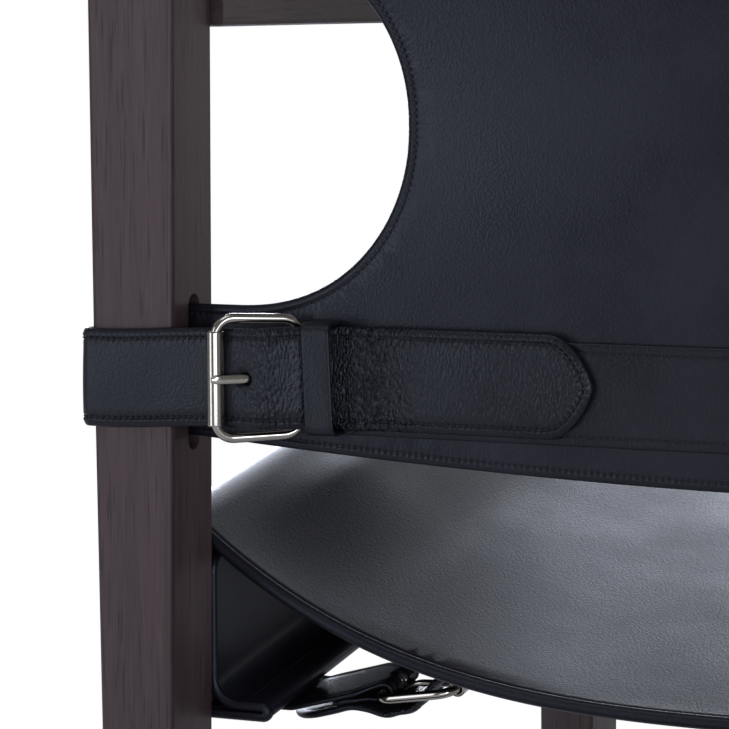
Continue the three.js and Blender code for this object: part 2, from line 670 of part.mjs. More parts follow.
// The band seen flat, with a narrow neck at each end that is centred on the buckle.
function bandOutline(reach, shift) {
  const heel = HEEL_X + NECK_LENGTH;
  const edge = (side) => {
    const neck = shift + side * BAND_NECK / 2;
    const left = [v2(HEEL_X - reach, neck), v2(heel, neck), v2(heel + NECK_FLARE, side * BAND_WIDTH / 2)];
    return [...left, ...left.map((point) => v2(-point.x, point.y)).reverse()];
  };
  return new THREE.Shape([...edge(1), ...edge(-1).reverse()]);
}

function backBand(centreZ) {
  const left = foldLine().map((point) => v2(point.x + HEEL_X, point.y + HEEL_Y));
  const line = [...left, ...left.map((point) => v2(-point.x, point.y)).reverse()];
  const z = centreZ + BAND_LIFT;
  const band = upright(ribbon(line, BAND_THICKNESS), z - BAND_WIDTH / 2, z + BAND_WIDTH / 2);
  const shift = STRAP_LIFT - BAND_LIFT;
  const limit = across(bandOutline(4 * FOLD, shift), -POST_DEPTH, POST_DEPTH).translate(0, 0, z);
  const gapLeft = prongGap().translate(HEEL_X, HEEL_Y, z + shift);
  const gapRight = prongGap().rotateZ(Math.PI).translate(-HEEL_X, HEEL_Y, z + shift);
  return cut(keep(band, limit), gapLeft, gapRight);
}

// A loop of leather over the strap, with its two feet on the panel.
function backKeeper(centreZ) {
  const half = KEEPER_HALF + KEEPER_THICKNESS / 2;
  const bridge = -KEEPER_RISE - KEEPER_THICKNESS / 2;
  const line = rounded([
    [-half, -HEEL_Y], [-half, bridge, KEEPER_CORNER], [half, bridge, KEEPER_CORNER], [half, -HEEL_Y],
  ], 4);
  return upright(ribbon(line, KEEPER_THICKNESS), KEEPER_START, KEEPER_START + KEEPER_WIDTH)
    .rotateY(Math.PI / 2).translate(HEEL_X, HEEL_Y, centreZ + STRAP_LIFT);
}

// Seat sling, drawn on edge in the tilted frame: over each rail, down its outer side, under it and in again to
// the fold of a hem, from where the leather turns back and rises along the rail's inner side.

const SLING_MIDDLE = RAIL_WIDTH / 2 + FIT + SLING_THICKNESS / 2; // radius over the rail
const RAIL_CENTRE = RAIL_TOP - RAIL_WIDTH / 2;
const SAG_START = v2(
  POST_X + SLING_MIDDLE * Math.sin(SAG_ANGLE),
  RAIL_CENTRE + SLING_MIDDLE * Math.cos(SAG_ANGLE),
);

// The sag leaves the rail in the direction of its side.
const SAG_POWER = Math.tan(SAG_ANGLE) * -SAG_START.x / SAG_DEPTH;

function sagLevel(x) {
  const share = 1 - Math.abs(x) / -SAG_START.x;
  return SAG_START.y - SAG_DEPTH * (1 - (1 - share) ** SAG_POWER);
}

const FLAP_LEVEL = RAIL_TOP - RAIL_HEIGHT - FIT - SLING_THICKNESS / 2;
const FLAP_END = POST_X + FLAP_REACH;

function slingHalf() {
  const outer = POST_X - SLING_MIDDLE;
  const inner = POST_X + SLING_MIDDLE;
  const fold = (SLING_THICKNESS + HEM_GAP) / 2;
  const line = rounded([
    [inner, -LINING_DROP], [inner, FLAP_LEVEL + 2 * fold, LINING_BEND], [FLAP_END, FLAP_LEVEL + 2 * fold],
  ], 6);
  for (let step = 1; step < HEM_STEPS; step += 1) {
    const angle = Math.PI * (0.5 - step / HEM_STEPS);
    line.push(v2(FLAP_END + fold * Math.cos(angle), FLAP_LEVEL + fold * (1 + Math.sin(angle))));
  }
  line.push(...rounded([
    [FLAP_END, FLAP_LEVEL], [outer, FLAP_LEVEL, ARRIS + SLING_THICKNESS / 2], [outer, RAIL_CENTRE],
  ], 4));
  const turns = 10;
  for (let step = 1; step <= turns; step += 1) {
    const angle = Math.PI - (Math.PI / 2 + SAG_ANGLE) * step / turns;
    line.push(v2(POST_X + SLING_MIDDLE * Math.cos(angle), RAIL_CENTRE + SLING_MIDDLE * Math.sin(angle)));
  }
  const steps = 16;
  for (let step = 1; step <= steps; step += 1) {
    const x = SAG_START.x * (1 - step / steps);
    line.push(v2(x, sagLevel(x)));
  }
  return line;
}

function seatSling() {
  const left = slingHalf();
  const right = left.slice(0, -1).reverse().map((point) => v2(-point.x, point.y));
  const sheet = across(ribbon([...left, ...right], SLING_THICKNESS), -RAIL_REACH, RAIL_REACH);
  const rear = v3(-INNER_WIDTH, POST_FRONT + SLING_GAP, 0);
  const front = v3(INNER_WIDTH, LEG_BACK - SLING_GAP, POST_TOP);
  return keep(sheet.applyMatrix4(toTilted), box(rear, front));
}

// The tabs and straps are sewn under the flaps and leave them at the hems.
const underFlap = (thickness, along) => (
  v2(FLAP_END + along, FLAP_LEVEL - SLING_THICKNESS / 2 - FIT - thickness / 2)
);
const HEM_RUN = SLING_THICKNESS;

const TAB_ALONG = v2(-Math.cos(SEAT_TAB_TILT), -Math.sin(SEAT_TAB_TILT));
const TAB_IN = v2(TAB_ALONG.y, -TAB_ALONG.x);
const SEAT_HEEL = underFlap(BAND_THICKNESS, HEM_RUN)
  .addScaledVector(TAB_ALONG, -SEAT_TAB_FREE).addScaledVector(TAB_IN, -FOLD);
const onTab = (u, n) => SEAT_HEEL.clone().addScaledVector(TAB_ALONG, u).addScaledVector(TAB_IN, n);
const SEAT_TOE = v2(-Math.sqrt(BUCKLE_LENGTH ** 2 - SEAT_TOE_DROP ** 2), -SEAT_TOE_DROP);

const toTab = (y) => new THREE.Matrix4().makeBasis(
  v3(TAB_ALONG.x, 0, TAB_ALONG.y), v3(TAB_IN.x, 0, TAB_IN.y), v3(0, 1, 0),
).setPosition(SEAT_HEEL.x, y, SEAT_HEEL.y);

function seatTab(y) {
  const sewn = underFlap(BAND_THICKNESS, -SEAT_TAB_SEWN);
  const bend = underFlap(BAND_THICKNESS, HEM_RUN);
  const heel = onTab(0, FOLD);
  const line = [
    ...rounded([[sewn.x, sewn.y], [bend.x, bend.y, SEAT_TAB_BEND], [heel.x, heel.y]]).slice(0, -1),
    ...foldLine().reverse().map((point) => onTab(point.x, point.y)),
  ];
  const half = BAND_WIDTH / 2;
  const neck = BAND_NECK / 2;
  const tab = across(ribbon(line, BAND_THICKNESS), y - half, y + half);
  const flare = SEAT_HEEL.x - NECK_LENGTH;
  const left = [
    v2(sewn.x - half, half), v2(flare - NECK_FLARE, half), v2(flare, neck), v2(flare + BAND_WIDTH, neck),
  ];
  const outline = new THREE.Shape([...left, ...left.map((point) => v2(point.x, -point.y)).reverse()]);
  const limit = upright(outline, -4 * RAIL_HEIGHT, RAIL_HEIGHT).translate(0, y, 0);
  return cut(keep(tab, limit), prongGap().applyMatrix4(toTab(y)));
}

function seatStrap(y) {
  const toTip = billetLine(SEAT_TOE, SEAT_TIP, SEAT_CREST).slice(0, -3);
  const fastened = [v2(SEAT_TIP, ON_TURN), ...toTip.reverse()].map((point) => onTab(point.x, point.y));
  const gap = SLING_THICKNESS / 2 + STRAP_STEP + FIT;
  const underSling = [];
  const steps = 8;
  for (let step = 0; step <= steps; step += 1) {
    const x = SEAT_CATCH * (2 * step / steps - 1);
    underSling.push(v2(x, sagLevel(x) - gap));
  }
  const bend = underFlap(STRAP_THICKNESS, HEM_RUN);
  const sewn = underFlap(STRAP_THICKNESS, -SEAT_TAB_SEWN);
  const rise = bend.clone().addScaledVector(TAB_ALONG, -SEAT_TAB_FREE);
  const joined = rounded([
    [-rise.x, rise.y], [-bend.x, bend.y, SEAT_TAB_BEND], [-sewn.x, sewn.y],
  ]);
  const free = smooth([...fastened, ...underSling, joined[0]], 50);
  const line = [...free, ...joined.slice(1)];
  const half = STRAP_WIDTH / 2;
  const strap = across(ribbon(line, STRAP_THICKNESS), y - half, y + half);
  const outline = pointedOutline(INNER_WIDTH, line[0].x, -1);
  const limit = upright(outline, -4 * RAIL_HEIGHT, RAIL_HEIGHT, 8).translate(0, y, 0);
  return cut(keep(strap, limit), prongHole(SEAT_TOE).applyMatrix4(toTab(y)));
}

// The chair

const chair = new THREE.Group();
const rightSide = new THREE.Group();
rightSide.scale.x = -1;
const tilted = new THREE.Group();
tilted.applyMatrix4(toTilted);
chair.add(rightSide, tilted);

function add(parent, name, geometry, finish) {
  const mesh = new THREE.Mesh(geometry, new THREE.MeshStandardMaterial(finish));
  mesh.name = name;
  parent.add(mesh);
}

// The right side mirrors the left one.
function addPair(name, geometry, finish) {
  add(chair, `${name}_left`, geometry, finish);
  add(rightSide, `${name}_right`, geometry.clone(), finish);
}

addPair('rear_post', rearPost(), WOOD);
addPair('front_leg', frontLeg(), WOOD);
addPair('seat_rail', seatRail(), WOOD);
addPair('armrest', armrest(), WOOD);
addPair('rear_foot_glide', footGlide(0), FELT);
addPair('front_foot_glide', footGlide(LEG_SPACING), FELT);
add(chair, 'rear_stretcher', wholeStretcher(POST_LEVELS, 0), WOOD);
add(chair, 'front_stretcher', wholeStretcher(LEG_LEVELS, LEG_SPACING), WOOD);
add(chair, 'back_panel', backPanel(), LEATHER);

[['lower', STRAP_HEIGHT], ['upper', STRAP_HEIGHT + STRAP_RISE]].forEach(([level, z]) => {
  const toe = backToe(z);
  const place = (geometry) => geometry.translate(HEEL_X, HEEL_Y, z + STRAP_LIFT);
  add(chair, `back_band_${level}`, backBand(z), LEATHER);
  addPair(`back_strap_${level}`, backStrap(z, toe), LEATHER);
  addPair(`back_keeper_${level}`, backKeeper(z), LEATHER);
  addPair(`back_buckle_${level}`, place(buckleFrame(toe)), NICKEL);
  addPair(`back_roller_${level}`, place(buckleRoller(toe)), NICKEL);
  addPair(`back_prong_${level}`, place(buckleProng(toe)), NICKEL);
});

add(chair, 'seat_sling', seatSling(), LEATHER);
const seatLength = (LEG_BACK - POST_FRONT) / Math.cos(RAIL_TILT) - RAIL_HEIGHT * Math.sin(RAIL_TILT);
const strapPlaces = {
  rear: SEAT_STRAP_INSET,
  middle: seatLength / 2,
  front: seatLength - SEAT_STRAP_INSET,
};
Object.entries(strapPlaces).forEach(([level, y]) => {
  add(tilted, `seat_tab_${level}`, seatTab(y), LEATHER);
  add(tilted, `seat_strap_${level}`, seatStrap(y), LEATHER);
  add(tilted, `seat_buckle_${level}`, buckleFrame(SEAT_TOE).applyMatrix4(toTab(y)), NICKEL);
  add(tilted, `seat_roller_${level}`, buckleRoller(SEAT_TOE).applyMatrix4(toTab(y)), NICKEL);
  add(tilted, `seat_prong_${level}`, buckleProng(SEAT_TOE).applyMatrix4(toTab(y)), NICKEL);
});

// The origin lies on the floor, under the middle of the chair.
chair.updateMatrixWorld(true);
const extent = new THREE.Box3().setFromObject(chair, true);
const middle = extent.getCenter(v3(0, 0, 0));
chair.position.set(-middle.x, -middle.y, -extent.min.z);
chair.updateMatrixWorld(true);

export default chair;
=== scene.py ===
# The dressed model of a leather sling lounge chair: a dark stained frame with slotted posts, a back panel and
# a seat of thick black saddle leather, and straps drawn tight with nickel-plated roller buckles.
import math

import bmesh
import bpy
import numpy as np
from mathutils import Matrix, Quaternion, Vector
from mathutils.geometry import delaunay_2d_cdt


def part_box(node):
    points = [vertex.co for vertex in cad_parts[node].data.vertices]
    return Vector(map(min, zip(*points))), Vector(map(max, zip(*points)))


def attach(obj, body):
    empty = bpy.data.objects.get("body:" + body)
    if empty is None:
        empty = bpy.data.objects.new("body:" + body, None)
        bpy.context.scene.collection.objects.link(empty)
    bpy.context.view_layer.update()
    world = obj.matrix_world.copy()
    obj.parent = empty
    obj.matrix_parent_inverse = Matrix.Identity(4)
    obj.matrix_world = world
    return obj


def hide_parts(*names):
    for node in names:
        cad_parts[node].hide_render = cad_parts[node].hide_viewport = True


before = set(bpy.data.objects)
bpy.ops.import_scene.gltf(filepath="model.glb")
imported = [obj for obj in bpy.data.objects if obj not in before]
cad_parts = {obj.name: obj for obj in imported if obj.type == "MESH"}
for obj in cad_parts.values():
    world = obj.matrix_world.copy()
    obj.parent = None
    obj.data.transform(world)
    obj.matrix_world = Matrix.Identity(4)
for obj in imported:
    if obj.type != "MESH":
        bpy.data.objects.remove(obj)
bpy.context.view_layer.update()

# Sizes in millimetres. Those of the solids are as in the part's source, the others are the leather's relief.
# Posts, rails and feet
FIT = 0.3
POST_GAP = 0.6
RUN_FIT = 0.45
INNER_WIDTH = 540
HALF = INNER_WIDTH / 2
STRAP_HEIGHT = 390
STRAP_RISE = 224
POST_WIDTH = 41
POST_DEPTH = 41
POST_HEAD = 76
POST_TOP = STRAP_HEIGHT + STRAP_RISE + POST_HEAD
POST_TOP_WIDTH = 45.5
POST_TOP_DEPTH = 38.6
FOOT_WIDTH = 31
FOOT_DEPTH = 44
LEG_SPACING = 541
ARRIS = 2.5
POST_X = -(INNER_WIDTH + POST_WIDTH) / 2
RAIL_WIDTH = 30
RAIL_HEIGHT = 84
RAIL_TILT = math.radians(9)
SEAT_TOP = STRAP_HEIGHT - 70
GLIDE_RADIUS = 11
GLIDE_HEIGHT = 4
GLIDE_NAIL_RADIUS = 1.6
GLIDE_NAIL_LENGTH = 14

# Back panel and pattern corners
PANEL_THICKNESS = 4
WING_LOW = -29
WING_HIGH = 31
WING_CORNER = 6.2
PATTERN_CORNER = 7
SLING_CORNER = 10
WING_SETBACK = 3
PANEL_DROP = 13
PANEL_DROP_POWER = 1.75
CUTOUT_START = 22
CUTOUT_REACH = 81.5
CUTOUT_POWER = 2.2
BORDER_CURL = 5.5
CURL_START = 40
CURL_REACH = 127
BOW = 1.1
BOW_START = 34
BOW_SPAN = 620
PANEL_GRID = 8.0

# Straps, bands and buckles
STRAP_WIDTH = 45
STRAP_THICKNESS = 3.4
STRAP_LIFT = 0.8
STRAP_BEND = 3.4
STRAP_ROOT = 4
TIP_REACH = 195
TIP_LENGTH = 23
TIP_FULLNESS = 0.62
TIP_BLUNT = 0.85
ROOT_NARROW = 0.985
BILLET_WIDE = 1.02
WIDEN_START = 20
WIDEN_REACH = 45
ROOT_DROP = 2.4
DROP_REACH = 60
ROW_BEFORE_POST = 40
PUFF = 0.35
SEAT_PUFF = 0.3
PUFF_HALF = 18
PUFF_RIM = 7
BAND_WIDTH = 45
BAND_THICKNESS = 2.2
BAND_LIFT = -2.4
BAND_NECK = 31
BAND_ROW_START = 24
FOLD_SLOT_ROOM = 7
NECK_REACH = 10
FLARE_REACH = 19
TURN_BACK = 27
TURN_SHAPE = ((1, 0), (0.6, 0), (0.35, 0.34), (0.15, 0.85), (0, 1))
BUCKLE_LENGTH = 39.5
HEEL_REACH = 57
TOE_HALF = 26.9
HEEL_HALF = 25.6
TOE_CORNER = 8
HEEL_CORNER = 9
WIRE = 2.25
ROLLER = 3.65
ROLLER_SKIN = 3.9
ROLLER_LENGTH = 42
ROLLER_SEAM = 0.35
PRONG_WIDTH = 4.5
PRONG_THICKNESS = 2.5
PRONG_WALL = 1.5
PRONG_LIFT = math.radians(4)
PRONG_PLAY = 0.6
PRONG_LENGTH = BUCKLE_LENGTH + 3.2
PRONG_FOOT = 14
PRONG_DROP = 0.35
HOLE_START = 12
KEEPER_WIDTH = 13.8
KEEPER_START = 5.5
KEEPER_THICKNESS = 1.8
KEEPER_HALF = 23.4
KEEPER_CORNER = 4
KEEPER_RISE = 11.2
KEEPER_LEAN = math.tan(math.radians(2.5))
BILLET_CREST = 0.9
OVER_HEEL = 9
BACK_CREST = ((0.64, 1, 0), (0.42, 0.3, 0), (0.19, 0, 0.5))
SEAT_CREST = ((0.76, 1, 0), (0.56, 0, 0.55), (0.36, 0, 1), (0.15, 0, 1))
FOLD = WIRE + FIT + BAND_THICKNESS / 2
TURN_LEVEL = FOLD - BAND_THICKNESS - FIT
HEEL_Y = -(BAND_THICKNESS + FIT + WIRE)
HEEL_X = HEEL_REACH - HALF
STRAP_STEP = FIT + STRAP_THICKNESS / 2
ON_TURN = TURN_LEVEL - BAND_THICKNESS / 2 - STRAP_STEP
ON_BAND = FOLD - BAND_THICKNESS / 2 - STRAP_STEP

# Seat sling and its straps
SLING_THICKNESS = 4
SLING_GAP = 0.7
SAG_DEPTH = 70
SAG_ANGLE = math.radians(38)
SLING_GRID = 7.0
RIPPLE_REACH = 60
RIPPLE_RIM = 25
BEAD_REACH = 14
SHOULDER_LIFT = 9
SHOULDER_WIDTH = 32
SHOULDER_END = 100
SHOULDER_FADE = 60
SHOULDER_INSET = 12
SHOULDER_RISE = 120
FLAP_REACH = 42
HEM_GAP = 0.8
LINING_DROP = 17
LINING_BEND = 12
SEAT_STRAP_INSET = 32.5
SEAT_TAB_TILT = math.radians(16)
SEAT_TAB_SEWN = 26
SEAT_TAB_FREE = 46
SEAT_TAB_BEND = 8
SEAT_TOE_DROP = 4.1
SEAT_TIP = 56
SEAT_CATCH = 90

# Sewing, edges and holes
STITCH_INSET = 4.4
STITCH_PITCH = 2.95
STITCH_LENGTH = 2.35
STITCH_SLANT = 0.12
STITCH_SEED = 7
THREAD = 0.8
THREAD_SUNK = 0.12
PUCKER = 0.17
PUCKER_REACH = 1.9
HEM_ROW = 8.3
HEM_SETBACK = 7
ROLL_BEAD = 3.3
ROLL_RISE = 0.7
ROLL_ROW = 5.3
ROLL_SUNK = 0.7
EDGE_ROUND = 2.8
EDGE_CLEAR = 0.9
HOLE_RINGS = (3, 4.6)
STRAP_COURSES = np.arange(-17, 18, 3.4)
BAND_COURSES = np.arange(-17, 18, 4.2)

# Uneven leather: a wave's height, its lengths along and across the pattern per radian, and its phase
PANEL_WAVES = ((0.5, 47, 71, 0), (0.35, 83, -38, 1.3))
BACK_STRAP_WAVES = ((0.18, 17, 23, 0), (0.12, 9.1, -12, 0))
SEAT_STRAP_WAVES = ((0.15, 19, 23, 0),)
KEEPER_WAVES = ((0.12, 8, 5, 0),)

# Creases of a fastened back strap: strength, place beyond the post and spread
BACK_CREASES = ((1, 86, 20), (0.4, 40, 12))
FAINT_CREASE = 0.12
FAINT_START = 60
SEAT_CREASE_SPREAD = 30

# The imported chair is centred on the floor, so the panel's rear face tells where the source's Y lies.
SHIFT = np.array([0, 1000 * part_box("back_panel")[0][1] - FIT, 0])
# Pieces are drawn on the sitter's left, and their X changes its sign on the right.
SIDES = {"left": 1, "right": -1}


# Lines and shapes

def unit(rows):
    return rows / np.maximum(np.linalg.norm(rows, axis=-1, keepdims=True), 1e-9)


def lerp(a, b, share):
    return a + (b - a) * share


def eased(share):
    """A smooth step from 0 to 1."""
    share = np.clip(share, 0, 1)
    return share * share * (3 - 2 * share)


def waves(u, v, rows):
    return sum(height * np.sin(u / along + v / across + phase) for height, along, across, phase in rows)


def spun(way, angle):
    """A direction in the plane, turned counter-clockwise."""
    x, y = way
    return np.array([x * math.cos(angle) - y * math.sin(angle), x * math.sin(angle) + y * math.cos(angle)])


def arc(centre, radius, angles):
    return np.array(centre) + radius * np.column_stack([np.cos(angles), np.sin(angles)])


def rounded(corners, step=math.radians(7.5)):
    """Corner points (x, y, radius) joined by straight runs and round bends."""
    line = []
    for i, (x, y, radius) in enumerate(corners):
        corner = np.array([x, y], float)
        if not radius:
            line.append(corner)
            continue
        before = unit(np.array(corners[i - 1][:2], float) - corner)
        after = unit(np.array(corners[(i + 1) % len(corners)][:2], float) - corner)
        half = math.acos(np.clip(before @ after, -1, 1)) / 2
        centre = corner + unit(before + after) * radius / math.sin(half)
        start = corner + before * radius / math.tan(half) - centre
        to_corner = corner - centre
        turn = (math.pi - 2 * half) * np.sign(start[0] * to_corner[1] - start[1] * to_corner[0])
        count = max(2, math.ceil(abs(turn) / step))
        line += [centre + spun(start, turn * k / count) for k in range(count + 1)]
    return np.array(line)


def flowing(points, steps=12):
    """A smooth line through points that may be spaced unevenly."""
    points = [np.array(p, float) for p in points]
    points = [2 * points[0] - points[1], *points, 2 * points[-1] - points[-2]]
    line = []
    for p0, p1, p2, p3 in zip(points, points[1:], points[2:], points[3:]):
        a, b, c = (math.sqrt(np.linalg.norm(q - p)) for p, q in ((p0, p1), (p1, p2), (p2, p3)))
        leave = ((p1 - p0) / a - (p2 - p0) / (a + b) + (p2 - p1) / b) * b
        reach = ((p2 - p1) / b - (p3 - p1) / (b + c) + (p3 - p2) / c) * b
        for t in np.arange(steps) / steps:
            line.append(p1 * (2 * t**3 - 3 * t**2 + 1) + leave * (t**3 - 2 * t**2 + t)
                        + p2 * (3 * t**2 - 2 * t**3) + reach * (t**3 - t**2))
    return np.array([*line, points[-2]])


def spaced(line, pitch, closed=False):
    """The same line with extra points, so that none are further apart than the pitch."""
    ends = [*line[1:], line[0]] if closed else line[1:]
    out = []
    for a, b in zip(line, ends):
        a, b = np.array(a, float), np.array(b, float)
        gap = np.linalg.norm(b - a)
        if gap < 1e-4:
            continue
        count = max(1, math.ceil(gap / pitch))
        out += [lerp(a, b, k / count) for k in range(count)]
    if not closed:
        out.append(np.array(line[-1], float))
    return np.array(out)


def inset(loop, depth):
    """A closed loop moved to its left by the depth."""
    ahead = unit(np.roll(loop, -1, 0) - loop)
    behind = np.roll(ahead, 1, 0)
    left = np.stack([-ahead[:, 1], ahead[:, 0]], 1)
    left_behind = np.stack([-behind[:, 1], behind[:, 0]], 1)
    way = unit(left + left_behind)
    return loop + way * depth / np.maximum(np.sum(way * left, 1, keepdims=True), 0.5)


def inside(points, loop):
    """Which points lie inside a closed loop."""
    a, b = loop, np.roll(loop, -1, 0)
    hit = np.zeros(len(points), bool)
    for part in np.array_split(np.arange(len(points)), max(1, len(points) // 500)):
        x, y = points[part, :1], points[part, 1:]
        spans = (a[:, 1] > y) != (b[:, 1] > y)
        rise = np.where(np.abs(b[:, 1] - a[:, 1]) < 1e-9, 1e-9, b[:, 1] - a[:, 1])
        crossing = a[:, 0] + (y - a[:, 1]) * (b[:, 0] - a[:, 0]) / rise
        hit[part] = np.sum(spans & (x < crossing), 1) % 2 == 1
    return hit


def away_from(points, loop, gap):
    """Which points keep a gap from a closely spaced loop."""
    clear = np.zeros(len(points), bool)
    for part in np.array_split(np.arange(len(points)), max(1, len(points) // 300)):
        clear[part] = np.min(np.sum((points[part, None] - loop[None]) ** 2, 2), 1) > gap**2
    return clear


def flat_area(loop):
    after = np.roll(loop, -1, 0)
    return abs(np.sum(loop[:, 0] * after[:, 1] - loop[:, 1] * after[:, 0])) / 2


def to_chair(points):
    """Millimetres of the part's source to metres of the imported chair."""
    return (np.asarray(points) + SHIFT) / 1000


def post_section(z):
    """The tapered post's width and depth at a height."""
    levels = ((GLIDE_HEIGHT, FOOT_WIDTH, FOOT_DEPTH), (STRAP_HEIGHT, POST_WIDTH, POST_DEPTH),
              (POST_TOP, POST_TOP_WIDTH, POST_TOP_DEPTH))
    a, b = levels[:2] if z <= STRAP_HEIGHT else levels[1:]
    share = (z - a[0]) / (b[0] - a[0])
    return lerp(a[1], b[1], share), lerp(a[2], b[2], share)


# The rails rise towards the front: the seat is drawn in a tilted frame that starts at the rear posts.
POST_FRONT = post_section(SEAT_TOP - RAIL_HEIGHT - SLING_THICKNESS)[1] / 2
TILTED_ORIGIN = np.array([0, POST_FRONT, SEAT_TOP])
TILTED_Y = np.array([0, math.cos(RAIL_TILT), math.sin(RAIL_TILT)])
TILTED_Z = np.array([0, -math.sin(RAIL_TILT), math.cos(RAIL_TILT)])
AXIS_X, AXIS_Y, AXIS_Z = np.eye(3)


class Run:
    """The middle line of a piece of leather seen on edge, along which its flat pattern is laid.
    The line lies in the plane of `first` and `second`, and `across` is the pattern's other direction."""

    def __init__(self, line, origin, first, second, across, out, lean=0.0):
        self.line = spaced(line, 2.0)
        steps = np.linalg.norm(np.diff(self.line, axis=0), axis=1)
        self.reach = np.concatenate([[0], np.cumsum(steps)])
        self.length = self.reach[-1]
        heading = unit(np.gradient(self.line, self.reach, axis=0))
        self.side = out * np.stack([-heading[:, 1], heading[:, 0]], 1)
        self.origin, self.first, self.second, self.across = origin, first, second, across
        self.lean, self.drift = lean, None

    def at(self, u):
        return np.stack([np.interp(u, self.reach, self.line[:, k]) for k in (0, 1)], 1)

    def out(self, u):
        return unit(np.stack([np.interp(u, self.reach, self.side[:, k]) for k in (0, 1)], 1))

    def lay(self, flat):
        u, v, h = np.asarray(flat, float).T
        spot = self.at(u) + self.out(u) * h[:, None]
        over = v + self.lean * spot[:, 0]
        if self.drift:
            over = over + self.drift(u)
        return to_chair(self.origin + spot[:, :1] * self.first + spot[:, 1:] * self.second
                        + over[:, None] * self.across)

    def facing(self, flat):
        side = self.out(np.asarray(flat, float)[:, 0])
        return side[:, :1] * self.first + side[:, 1:] * self.second


class Flat:
    """A pattern that stays flat, upright behind the sitter's back, with a slight bow between the straps and
    free borders that curl forwards."""

    def lay(self, flat):
        u, v, h = np.asarray(flat, float).T
        rise = np.clip((v - BOW_START) / (STRAP_RISE - 2 * BOW_START), 0, 1)
        curl = BORDER_CURL * np.clip((np.abs(u) - CURL_START) / CURL_REACH, 0, 1) ** 2
        bow = BOW * np.cos(math.pi * u / BOW_SPAN) + waves(u, v, PANEL_WAVES) - curl
        level = FIT + PANEL_THICKNESS / 2 - h - np.sin(math.pi * rise) ** 2 * bow
        return to_chair(np.stack([u, level, v + STRAP_HEIGHT], 1))

    def facing(self, flat):
        return np.tile([0.0, -1.0, 0.0], (len(flat), 1))


# Leather

def leather_edge(thickness, groove_at=None, groove=0.0, rim=0.0, reach=None):
    """Steps of a rounded leather edge: depth from the cut edge, level of the outer and of the inner face."""
    half = thickness / 2
    reach = reach or half
    steps = [(reach * (1 - math.cos(a)), half * math.sin(a)) for a in np.radians((0, 20, 42, 66, 90))]
    if groove_at is None:
        steps.append((half + 1, half))
    else:
        high, low = half + rim, half - groove
        steps[-1] = (reach, high)
        steps += [(groove_at - 1.3, high), (groove_at - 0.7, lerp(high, low, 0.45)), (groove_at, low),
                  (groove_at + 0.7, lerp(half, low, 0.45)), (groove_at + 1.4, half)]
    return [(depth, level, -min(level, half)) for depth, level in steps]


def rolled_edge(thickness, bead):
    """Steps of an edge that is rolled over a cord: a full round bead that hangs below the sheet, then the row
    of stitches that holds it."""
    half = thickness / 2
    middle = half + ROLL_RISE - bead
    steps = [(bead * (1 - math.cos(a)), middle + bead * math.sin(a), middle - bead * math.sin(a))
             for a in np.radians((0, 18, 36, 54, 72, 90))]
    low = middle - bead
    return steps + [(bead + 0.9, half - 0.15, lerp(low, -half, 0.2)),
                    (ROLL_ROW, half - 0.75, lerp(low, -half, 0.6)),
                    (ROLL_ROW + 0.8, half - 0.3, lerp(low, -half, 0.9)),
                    (ROLL_ROW + 1.5, half, -half), (ROLL_ROW + 2.7, half, -half)]


